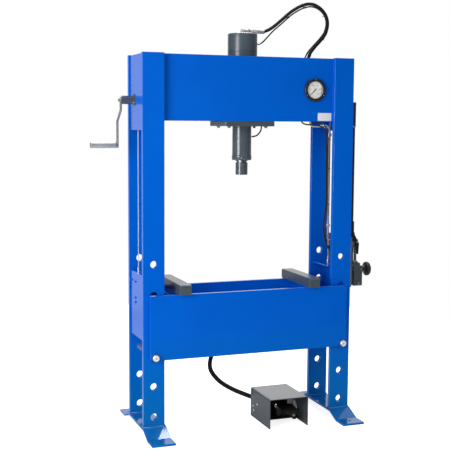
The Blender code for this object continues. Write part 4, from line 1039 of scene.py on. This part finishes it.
def makeHeadFitting():
    f = fitting
    crimp = list(f["crimpStart"])
    for k in range(f["crimps"]):
        h = f["crimpFrom"] + f["crimpPitch"] * k
        crimp += [(f["crest"], h), (f["trough"], h + 0.0008), (f["trough"], h + 0.0026),
                  (f["crest"], h + 0.0034)]
    crimp += f["crimpEnd"]
    spot = at(*f["spot"])
    bm = bmesh.new()
    addLathe(bm, f["stem"], spot, axisX, f["steps"])
    addHex(bm, spot + axisX * f["nutFrom"], axisX, f["nutWidth"], f["nutLong"])
    addLathe(bm, crimp, spot, axisX, f["steps"])
    addLathe(bm, f["foot"], at(*f["footSpot"]), axisZ, f["steps"])
    piece("headFitting", bm, ropeCoat, "frame", node="head_fitting")
    bm = bmesh.new()
    addLathe(bm, f["seal"], spot + axisX * f["sealFrom"], axisX, f["steps"])
    piece("fittingSealRing", bm, bluePaint, "frame")


makeHeadFitting()
print("cylinder dressed")


# gauge: ring, printed dial, needle cap

gauge = {
    "x": 0.383, "z": 1.869, "front": -0.1445, "dialFront": -0.1348, "capFront": -0.1364, "sweep": 270.0,
    "start": 225.0,
    "case": [(0.0, 0.011), (0.0478, 0.011), (0.0478, 0.0045), (0.0484, 0.0024), (0.0496, 0.0013),
             (0.0525, 0.0004), (0.0545, 0.0), (0.0580, 0.0006), (0.0606, 0.0020), (0.0628, 0.0040),
             (0.0638, 0.0062), (0.064, 0.008), (0.064, 0.015), (0.050, 0.015), (0.050, 0.0663),
             (0.047, 0.0693), (0.0, 0.0693)],
    "cap": [(0.0, 0.0011), (0.0026, 0.0010), (0.0038, 0.0005), (0.0040, 0.0)],
}
dial = {
    "ticks": 50, "tickTop": 0.0420, "rim": (0.0420, 0.0425), "rimOver": 0.5, "lift": 0.00006, "ink": 0.00008,
    # every tenth, fifth and single tick: inner end, half width in degrees
    "tickKinds": {10: (0.0355, 0.55), 5: (0.0375, 0.25), 1: (0.039, 0.25)},
    "arcStep": 3, "red": (22, -34), "redBand": (0.0385, 0.0445), "redLift": 0.00005,
    "marks": ["0", "100", "200", "300", "400", "500"], "markSize": 0.0085, "markReach": 0.0285,
    "markLift": 0.0001, "markInk": 0.00004,
}


def dialSpot(angle, reach, lift):
    a = math.radians(angle)
    return at(gauge["x"] + reach * math.cos(a), gauge["dialFront"] - lift, gauge["z"] + reach * math.sin(a))


def addArc(bm, start, stop, inner, outer, lift):
    count = max(2, int(abs(stop - start) / dial["arcStep"]))
    low, high = lift, lift + dial["ink"]
    rows = []
    for k in range(count + 1):
        a = start + (stop - start) * k / count
        corners = ((inner, low), (outer, low), (outer, high), (inner, high))
        rows.append([bm.verts.new(dialSpot(a, r, h)) for r, h in corners])
    skinRows(bm, rows)


def addMark(bm, text, spot):
    words = bpy.data.curves.new("dialNumber", "FONT")
    words.body = text
    words.size = dial["markSize"]
    words.align_x = "CENTER"
    words.align_y = "CENTER"
    words.extrude = dial["markInk"]
    holder = bpy.data.objects.new("dialNumber", words)
    scene.collection.objects.link(holder)
    bpy.context.view_layer.update()
    data = bpy.data.meshes.new_from_object(holder.evaluated_get(bpy.context.evaluated_depsgraph_get()))
    data.transform(Matrix.Translation(spot) @ Matrix.Rotation(math.pi / 2, 4, "X"))
    bm.from_mesh(data)
    bpy.data.objects.remove(holder)
    bpy.data.meshes.remove(data)


def makeGauge():
    start, sweep = gauge["start"], gauge["sweep"]
    caseSpot = (gauge["x"], gauge["front"], gauge["z"])
    turnedPiece("gaugeCase", [(gauge["case"], caseSpot, axisY, 96)], blackPaint, "frame",
                30, "gauge_case")
    bm = bmesh.new()
    for k in range(dial["ticks"] + 1):
        a = start - sweep * k / dial["ticks"]
        inner, half = next(dial["tickKinds"][n] for n in (10, 5, 1) if k % n == 0)
        addArc(bm, a - half, a + half, inner, dial["tickTop"], dial["lift"])
    addArc(bm, start + dial["rimOver"], start - sweep - dial["rimOver"], *dial["rim"], dial["lift"])
    for k, text in enumerate(dial["marks"]):
        angle = start - sweep * k / (len(dial["marks"]) - 1)
        addMark(bm, text, dialSpot(angle, dial["markReach"], dial["markLift"]))
    bmesh.ops.recalc_face_normals(bm, faces=bm.faces)
    piece("dialPrint", bm, dialInk, "frame")
    bm = bmesh.new()
    addArc(bm, *dial["red"], *dial["redBand"], dial["redLift"])
    bmesh.ops.recalc_face_normals(bm, faces=bm.faces)
    piece("dialRedBand", bm, dialRed, "frame")
    capSpot = (gauge["x"], gauge["capFront"], gauge["z"])
    turnedPiece("needleCap", [(gauge["cap"], capSpot, (0, -1, 0), 32)], bareSteel, "needle")


makeGauge()
print("gauge made")


# bare rating plate on the beam front

ratingPlate = {
    "left": 0.404, "right": 0.488, "low": 1.699, "top": 1.743, "face": -0.1293, "thick": 0.0009,
    "edge": 0.0003,
    "inset": 0.004, "rivet": [(0.0, 0.0011), (0.0010, 0.0010), (0.0018, 0.0006), (0.0021, 0.0)],
}


def makeRatingPlate():
    p = ratingPlate
    front, inset = p["face"] - p["thick"], p["inset"]
    bm = bmesh.new()
    addSlab(bm, at(p["left"], front, p["low"]), at(p["right"], p["face"], p["top"]), p["edge"], 2)
    piece("ratingPlate", bm, whitePlate, "frame")
    rivets = [(p["rivet"], (x, front, z), (0, -1, 0), 20) for x in (p["left"] + inset, p["right"] - inset)
              for z in (p["low"] + inset, p["top"] - inset)]
    turnedPiece("plateRivets", rivets, zincPlate, "frame")


makeRatingPlate()
print("rating plate made")


# crank: nut on the shaft, grooved grip

crank = {
    "y": 0.0455, "shaftZ": 1.804, "armFace": -0.6836, "washerThick": 0.0016, "nutWidth": 0.018,
    "nutLong": 0.008, "stud": 0.005,
    "washer": [(0.0085, 0.0), (0.0135, 0.0), (0.0138, 0.0004), (0.0135, 0.0016), (0.0085, 0.0016),
               (0.0085, 0.0)],
    "gripZ": 1.562, "gripNear": -0.7025, "gripFar": -0.848, "gripRadius": 0.016, "grooves": 11,
    "grooveFrom": 0.010, "grooveEnds": 0.022, "groove": (0.0006, 0.0016, 0.0008),
    "endRadius": 0.0146, "endLong": 0.003, "bore": 0.0065, "boreDeep": 0.119,
    "nose": [(0.0, 0.0), (0.0108, 0.0), (0.0130, 0.0006), (0.0150, 0.0020), (0.0158, 0.0038)],
}


def makeCrank():
    c = crank
    face, way = c["armFace"], (-1, 0, 0)
    bm = bmesh.new()
    addLathe(bm, c["washer"], at(face, c["y"], c["shaftZ"]), way, 28)
    nutSpot = at(face - c["washerThick"], c["y"], c["shaftZ"])
    addHex(bm, nutSpot, way, c["nutWidth"], c["nutLong"], bore=c["stud"])
    piece("crankNut", bm, zincPlate, "crank")
    r, length = c["gripRadius"], c["gripNear"] - c["gripFar"]
    pitch = (length - c["grooveEnds"]) / (c["grooves"] - 1)
    deep = length - c["boreDeep"]
    profile = c["nose"] + grooved(r, c["groove"], [c["grooveFrom"] + k * pitch for k in range(c["grooves"])])
    profile += [(r, length - c["endLong"]), (c["endRadius"], length)]
    profile += [(c["bore"], length), (c["bore"], deep), (0.0, deep)]
    turnedPiece("crankGrip", [(profile, (c["gripFar"], c["y"], c["gripZ"]), axisX, 48)], zincPlate, "grip",
                30, "crank_grip")


makeCrank()
print("crank dressed")


# pump: gland nut, plugs, pivot bolts, lever ring and grip, knob

pump = {
    "y": -0.045, "rodX": 0.700, "leverX": 0.668, "knobZ": 0.836,
    "gland": [(0.0099, 0.0), (0.0165, 0.0), (0.0168, 0.001), (0.0168, 0.006), (0.0160, 0.0072),
              (0.0125, 0.0078), (0.0118, 0.0105), (0.0099, 0.0108), (0.0099, 0.0)], "glandLow": 0.8781,
    "plugs": [((0.7085, -0.0749, 0.7560), 0.0068), ((0.7260, -0.0749, 0.8400), 0.0048)],
    "nuts": [((0.7265, -0.045, 0.8601), (0, 0, 1), 0.014, 0.010),
             ((0.703, -0.0149, 0.7966), (0, 1, 0), 0.0118, 0.009),
             ((0.703, -0.0149, 0.7834), (0, 1, 0), 0.0118, 0.009)],
    "collar": [(0.0076, 0.0), (0.0125, 0.0), (0.0130, 0.0005), (0.0130, 0.0035), (0.0122, 0.0042),
               (0.0076, 0.0042), (0.0076, 0.0)], "collarX": 0.7351,
}
lever = {
    "sides": [(-0.0676, -1), (-0.0224, 1)], "pivotZ": 0.992, "pivotWidth": 0.015, "pivotSpin": 0.2,
    "pinZ": 1.000,
    "pin": [(0.0, 0.0026), (0.0040, 0.0026), (0.0054, 0.0018), (0.0058, 0.0)],
    "ring": [(0.0152, 0.0), (0.0182, 0.0), (0.0188, 0.001), (0.0188, 0.0070), (0.0182, 0.008),
             (0.0152, 0.008), (0.0152, 0.0)], "ringLow": 1.6646,
    "gripLow": 1.6730, "gripRadius": 0.0185, "grooves": 12, "grooveFrom": 0.010, "groovePitch": 0.0095,
    "groove": (0.0009, 0.0026, 0.0014), "gripStart": [(0.0153, 0.0), (0.0178, 0.0), (0.0185, 0.0012)],
    "gripEnd": [(0.0185, 0.1290), (0.0178, 0.1318), (0.0160, 0.1340), (0.0130, 0.1348), (0.0, 0.135),
                (0.0, 0.1296), (0.0153, 0.1296), (0.0153, 0.0)],
}
knob = {
    "x": 0.735, "steps": 144, "flutes": 18, "fluteDepth": 0.0022, "fluteFrom": 0.0300,
    "profile": [(0.0, -0.012), (0.007, -0.012), (0.007, 0.0060), (0.0150, 0.0066), (0.0160, 0.0082),
                (0.0166, 0.0160), (0.0180, 0.0260), (0.0230, 0.0285), (0.0310, 0.0300), (0.0385, 0.0330),
                (0.0408, 0.0362), (0.0410, 0.0400), (0.0410, 0.0450), (0.0402, 0.0480), (0.0378, 0.0520),
                (0.0340, 0.0552), (0.0280, 0.0578), (0.0200, 0.0594), (0.0100, 0.0599), (0.0, 0.06)],
}


def addNuts(bm, nuts):
    for spot, way, width, height in nuts:
        addHex(bm, at(*spot), way, width, height)


def makePump():
    y, x = pump["y"], pump["leverX"]
    bm = bmesh.new()
    addLathe(bm, pump["gland"], at(pump["rodX"], y, pump["glandLow"]), axisZ, 36)
    for spot, radius in pump["plugs"]:
        addSocketScrew(bm, at(*spot), (0, -1, 0), radius)
    addNuts(bm, pump["nuts"])
    addLathe(bm, pump["collar"], at(pump["collarX"], y, pump["knobZ"]), axisX, 32)
    piece("pumpFittings", bm, zincPlate, "frame")
    bm = bmesh.new()
    for cheek, way in lever["sides"]:
        addBolt(bm, at(x, cheek, lever["pivotZ"]), (0, way, 0), lever["pivotWidth"], lever["pivotSpin"])
        addLathe(bm, lever["pin"], at(pump["rodX"], cheek, lever["pinZ"]), (0, way, 0), 24)
    piece("leverBolts", bm, bareSteel, "lever")
    turnedPiece("leverRing", [(lever["ring"], (x, y, lever["ringLow"]), axisZ, 40)], zincPlate, "lever")
    heights = [lever["grooveFrom"] + k * lever["groovePitch"] for k in range(lever["grooves"])]
    profile = lever["gripStart"] + grooved(lever["gripRadius"], lever["groove"], heights) + lever["gripEnd"]
    turnedPiece("leverGrip", [(profile, (x, y, lever["gripLow"]), axisZ, 48)], blackPlastic, "lever",
                30, "lever_grip")
    bm = bmesh.new()
    addLathe(bm, knob["profile"], at(knob["x"], y, pump["knobZ"]), axisX, knob["steps"], knob["flutes"],
             knob["fluteDepth"], knob["fluteFrom"])
    piece("releaseKnob", bm, blackPlastic, "knob", 40, "release_knob")


# pump bracket, open between lugs and shelf, with a rib down to the pump

bracket = {
    "windowLow": (0.600, -0.105, 0.876), "windowHigh": (0.640, 0.105, 0.956), "corner": 0.012,
    "ribLow": (0.6200, -0.0618, 0.8640), "ribHigh": (0.6800, -0.0542, 0.9660), "ribEdge": 0.0012,
}


def makeBracket():
    bm = bmesh.new()
    addSlab(bm, at(*bracket["windowLow"]), at(*bracket["windowHigh"]), bracket["corner"], 4)
    cutData = bpy.data.meshes.new("bracketCut")
    bm.to_mesh(cutData)
    bm.free()
    cutter = bpy.data.objects.new("bracketCut", cutData)
    holder = bpy.data.objects.new("bracketBlank", nodes["pump_bracket"].data.copy())
    for obj in (cutter, holder):
        scene.collection.objects.link(obj)
    cut = holder.modifiers.new("window", "BOOLEAN")
    cut.object = cutter
    cut.solver = "EXACT"
    bpy.context.view_layer.update()
    bm = bmesh.new()
    bm.from_object(holder, bpy.context.evaluated_depsgraph_get())
    for obj in (cutter, holder):
        bpy.data.objects.remove(obj)
    addSlab(bm, at(*bracket["ribLow"]), at(*bracket["ribHigh"]), bracket["ribEdge"], 2)
    piece("pumpBracket", bm, greyPaint, "frame", 32, "pump_bracket")


makePump()
makeBracket()
print("pump dressed")


# nuts of the riser pipe

pipeNuts = [
    ((riser["x"], riser["y"], 1.612), (0, 0, 1), 0.021, 0.018),
    ((riser["x"], riser["y"], 1.100), (0, 0, 1), 0.019, 0.014),
    ((0.455, -0.0895, 1.669), (1, -0.55, 0), 0.019, 0.016),
    ((0.395, -0.0519, 1.8215), (0, 0, 1), 0.019, 0.0160),
    ((0.590, riser["y"], 1.018), (1, 0, 0), 0.019, 0.016),
]


def makePipeNuts():
    bm = bmesh.new()
    addNuts(bm, pipeNuts)
    piece("pipeNuts", bm, zincPlate, "frame")


makePipeNuts()
print("pipe nuts made")


# foot pedal: rubber feet, hose nuts, coupling, hood screws, base plate, valve cap, tread ribs

pedal = {
    "footX": (0.098, 0.288), "footY": (-0.122, 0.0),
    "foot": [(0.0, 0.0002), (0.0105, 0.0002), (0.0125, 0.0012), (0.0118, 0.0100), (0.0108, 0.0117),
             (0.0, 0.0117)],
    "nuts": [((0.225, -0.0299, z), (0, 1, 0), 0.0125, 0.012) for z in (0.0466, 0.0334)],
    "screwX": 0.0769, "screwYz": [(-0.018, 0.068), (-0.079, 0.091), (-0.027, 0.044)],
    "screw": [(0.0, 0.0046), (0.0038, 0.0044), (0.0064, 0.0032), (0.0076, 0.0012), (0.0076, 0.0),
              (0.0050, 0.0), (0.0050, -0.0045), (0.0, -0.0045)],
    "plateLow": (0.0815, -0.140, 0.012), "plateHigh": (0.3045, 0.0183, 0.016), "plateEdge": 0.0012,
}
coupling = {
    "x": 0.2862, "y": -0.121, "half": (0.0125, 0.013), "blockZ": (0.057, 0.087), "blockEdge": 0.003,
    "post": [(0.0, 0.0), (0.0105, 0.0), (0.0105, 0.004), (0.0060, 0.006), (0.0060, 0.042), (0.0, 0.042)],
    "spout": [(0.0, 0.0135), (0.0072, 0.0135), (0.0082, 0.0125), (0.0082, 0.0050), (0.0105, 0.0046),
              (0.0105, -0.001), (0.0, -0.001)],
    "top": [(0.0, 0.010), (0.0055, 0.010), (0.0065, 0.009), (0.0065, -0.001), (0.0, -0.001)],
    "postLow": 0.016, "spoutZ": 0.072, "nutLow": 0.0868, "nutWidth": 0.019, "nutLong": 0.011,
    "topLow": 0.0975,
}
valveCap = {
    "x": (0.150, 0.277), "y": (-0.054, -0.006), "low": 0.0874, "pitch": 0.0116, "thick": 0.0124, "rings": 5,
    "inset": 0.003, "edge": 0.0028, "legX": [(0.152, 0.1835), (0.2656, 0.2758)], "legY": (-0.052, -0.008),
    "legZ": (0.0162, 0.0890),
}
treadRib = {
    "pivot": (0.225, -0.042, 0.078), "count": 5, "halfX": 0.044, "halfY": 0.0028, "edge": 0.0007,
    "flatFrom": -0.078, "flatPitch": 0.0085, "flatZ": (0.0104, 0.0124),
    "slopeFrom": -0.124, "slopePitch": 0.0098, "bendY": -0.118, "bendZ": 0.0105, "fall": 0.213,
    "slopeZ": (-0.0012, 0.0018),
}


def makeCoupling():
    c = coupling
    x, y, (halfX, halfY) = c["x"], c["y"], c["half"]
    bm = bmesh.new()
    addLathe(bm, c["post"], at(x, y, c["postLow"]), axisZ, 28)
    low, high = c["blockZ"]
    addSlab(bm, at(x - halfX, y - halfY, low), at(x + halfX, y + halfY, high), c["blockEdge"], 3)
    addLathe(bm, c["spout"], at(x, y - halfY, c["spoutZ"]), (0, -1, 0), 32)
    addHex(bm, at(x, y, c["nutLow"]), axisZ, c["nutWidth"], c["nutLong"])
    addLathe(bm, c["top"], at(x, y, c["topLow"]), axisZ, 28)
    piece("pedalCoupling", bm, whitePlate, "frame")


def makeValveCap():
    c = valveCap
    bm = bmesh.new()
    for k in range(c["rings"]):
        z, inset = c["low"] + c["pitch"] * k, 0.0 if k % 2 else c["inset"]
        low = at(c["x"][0] + inset, c["y"][0] + inset, z)
        high = at(c["x"][1] - inset, c["y"][1] - inset, z + c["thick"])
        addSlab(bm, low, high, c["edge"], 3)
    for left, right in c["legX"]:
        addSlab(bm, at(left, c["legY"][0], c["legZ"][0]), at(right, c["legY"][1], c["legZ"][1]), c["edge"], 3)
    piece("pedalValveCap", bm, padRubber, "frame")


def addRib(bm, y, low, top):
    pivot, x, half = at(*treadRib["pivot"]), treadRib["halfX"], treadRib["halfY"]
    addSlab(bm, pivot + Vector((-x, y - half, low)), pivot + Vector((x, y + half, top)), treadRib["edge"], 2)


def makeTreadRibs():
    t = treadRib
    bm = bmesh.new()
    for k in range(t["count"]):
        addRib(bm, t["flatFrom"] - t["flatPitch"] * k, *t["flatZ"])
    for k in range(t["count"]):
        y = t["slopeFrom"] - t["slopePitch"] * k
        z = t["bendZ"] - (t["bendY"] - y) * t["fall"]
        addRib(bm, y, z + t["slopeZ"][0], z + t["slopeZ"][1])
    piece("treadRibs", bm, padRubber, "tread")


def makePedal():
    feet = [(pedal["foot"], (x, y, 0.0), axisZ, 28) for x in pedal["footX"] for y in pedal["footY"]]
    turnedPiece("pedalFeet", feet, padRubber, "frame")
    bm = bmesh.new()
    addNuts(bm, pedal["nuts"])
    piece("pedalFittings", bm, zincPlate, "frame")
    makeCoupling()
    heads = [(pedal["screw"], (pedal["screwX"], y, z), (-1, 0, 0), 28) for y, z in pedal["screwYz"]]
    turnedPiece("hoodScrews", heads, zincPlate, "frame")
    bm = bmesh.new()
    addSlab(bm, at(*pedal["plateLow"]), at(*pedal["plateHigh"]), pedal["plateEdge"], 2)
    piece("pedalBasePlate", bm, blackPaint, "frame", node="pedal_base")
    makeValveCap()
    makeTreadRibs()


# return spring under the tread

spring = {
    "x": 0.225, "y": -0.122, "low": 0.0164, "top": 0.0782, "radius": 0.009, "wire": 0.0012, "sides": 10,
    "turns": 5, "stepsPerTurn": 28, "keep": 0.74,
}


def makeSpring():
    steps, rows = spring["turns"] * spring["stepsPerTurn"], []
    low, top = spring["low"] + spring["wire"], spring["top"] - spring["wire"]
    bm = bmesh.new()
    for k in range(steps + 1):
        t = k / steps
        a = 2 * math.pi * spring["turns"] * t
        out = Vector((math.cos(a), math.sin(a), 0))
        middle = at(spring["x"], spring["y"], low + (top - low) * t) + out * spring["radius"]
        rows.append(addRing(bm, middle, out, axisZ, spring["wire"], spring["sides"]))
    skinRows(bm, rows)
    bmesh.ops.recalc_face_normals(bm, faces=bm.faces)
    coil = piece("pedalSpring", bm, armSteel, "frame", 80, "pedal_spring")
    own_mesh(coil)


makePedal()
makeSpring()
print("pedal dressed")


# floor, light and world

floorLook = {
    "radius": 3.6, "sides": 96, "drop": 0.0006, "fine": 60, "clouds": 0.4,
    "tones": ((0.93, 0.93, 0.93), (0.96, 0.96, 0.96)), "rough": 0.9, "gloss": 0.1,
    "glowReach": (0.4, 2.0), "glow": (0.80, 1.0),
}
studio = {
    "ambient": 0.345, "dim": 0.06, "above": (0.55, 0.8), "panelCore": 0.7,
    # bright parts of the studio seen in the gloss: bearing and half width in degrees, level
    "panels": [(70, 46, 1.0), (-151, 16, 1.0), (6, 15, 0.5)],
}
lamps = {
    "keyPanel": {"spot": (-3.41, -1.89, 2.1), "target": (0, 0, 1.2), "size": (1.6, 2.4), "power": 121.0,
                 "mirrored": True},
    "fillPanel": {"spot": (1.2, -5.2, 2.6), "target": (0, 0, 1.1), "size": (2.4, 2.4), "power": 25.0,
                  "mirrored": False},
    "topPanel": {"spot": (0.8, 1.7, 4.5), "target": (0, 0, 0.8), "size": (1.5, 1.5), "power": 86.0,
                 "mirrored": True},
}


def makeFloor():
    look = floorLook
    bm = bmesh.new()
    bmesh.ops.create_circle(bm, cap_ends=True, segments=look["sides"], radius=look["radius"])
    data = bpy.data.meshes.new("studioFloor")
    bm.to_mesh(data)
    bm.free()
    mat, tree, shader = startMaterial("studioFloor")
    skin = useGroup(tree, skinGrain, Fine_Scale=look["fine"], Cloud_Scale=look["clouds"])
    tree.links.new(mixColour(tree, skin.outputs["Clouds"], *look["tones"]), shader.inputs["Base Color"])
    shader.inputs["Roughness"].default_value = look["rough"]
    shader.inputs["Specular IOR Level"].default_value = look["gloss"]
    surface = addNode(tree, "ShaderNodeNewGeometry")
    reach = addNode(tree, "ShaderNodeVectorMath", {"operation": "LENGTH"})
    tree.links.new(surface.outputs["Position"], reach.inputs[0])
    rays = addNode(tree, "ShaderNodeLightPath")
    lift = remap(tree, reach.outputs["Value"], *look["glowReach"], *look["glow"])
    glow = addNode(tree, "ShaderNodeEmission")
    tree.links.new(math2(tree, "MULTIPLY", lift, rays.outputs["Is Camera Ray"]), glow.inputs["Strength"])
    both = addNode(tree, "ShaderNodeAddShader")
    tree.links.new(shader.outputs["BSDF"], both.inputs[0])
    tree.links.new(glow.outputs["Emission"], both.inputs[1])
    tree.links.new(both.outputs["Shader"], tree.nodes["Material Output"].inputs["Surface"])
    data.materials.append(mat)
    floor = bpy.data.objects.new("studioFloor", data)
    floor.location = (0, 0, -look["drop"])
    scene.collection.objects.link(floor)


def addLamp(name, lamp):
    data = bpy.data.lights.new(name, "AREA")
    data.shape = "RECTANGLE"
    data.size, data.size_y = lamp["size"]
    data.energy = lamp["power"]
    obj = bpy.data.objects.new(name, data)
    obj.location = lamp["spot"]
    obj.rotation_euler = (Vector(lamp["target"]) - Vector(lamp["spot"])).to_track_quat("-Z", "Y").to_euler()
    obj.visible_camera = False
    obj.visible_glossy = lamp["mirrored"]
    scene.collection.objects.link(obj)


def makeWorld():
    world = bpy.data.worlds.new("studioWhite")
    scene.world = world
    world.use_nodes = True
    tree = world.node_tree
    back = tree.nodes["Background"]
    place = addNode(tree, "ShaderNodeTexCoord")
    way = splitVector(tree, place.outputs["Generated"])
    bearing = math2(tree, "ARCTAN2", way["Y"], way["X"])
    panels = None
    for middle, half, level in studio["panels"]:
        off = math2(tree, "SUBTRACT", bearing, math.radians(middle))
        wrapped = math2(tree, "ARCTAN2", math2(tree, "SINE", off, 0.0), math2(tree, "COSINE", off, 0.0))
        near = math2(tree, "ABSOLUTE", wrapped, 0.0)
        core = math.radians(half * studio["panelCore"])
        panel = remap(tree, near, core, math.radians(half), level, studio["dim"])
        panels = panel if panels is None else math2(tree, "MAXIMUM", panels, panel)
    above = remap(tree, way["Z"], *studio["above"], 0.0, 1.0)
    gloss = math2(tree, "MAXIMUM", panels, above)
    rays = addNode(tree, "ShaderNodeLightPath")
    mirror = math2(tree, "MAXIMUM", rays.outputs["Is Glossy Ray"], rays.outputs["Is Transmission Ray"])
    mirrored = math2(tree, "MULTIPLY", mirror, gloss)
    plain = math2(tree, "MULTIPLY", math2(tree, "SUBTRACT", 1.0, mirror), studio["ambient"])
    lit = math2(tree, "ADD", mirrored, plain)
    tree.links.new(math2(tree, "MAXIMUM", lit, rays.outputs["Is Camera Ray"]), back.inputs["Strength"])
    back.inputs["Color"].default_value = (1.0, 1.0, 1.0, 1.0)


makeFloor()
makeWorld()
for name, lamp in lamps.items():
    addLamp(name, lamp)

scene.view_settings.view_transform = "Standard"
print("scene ready")
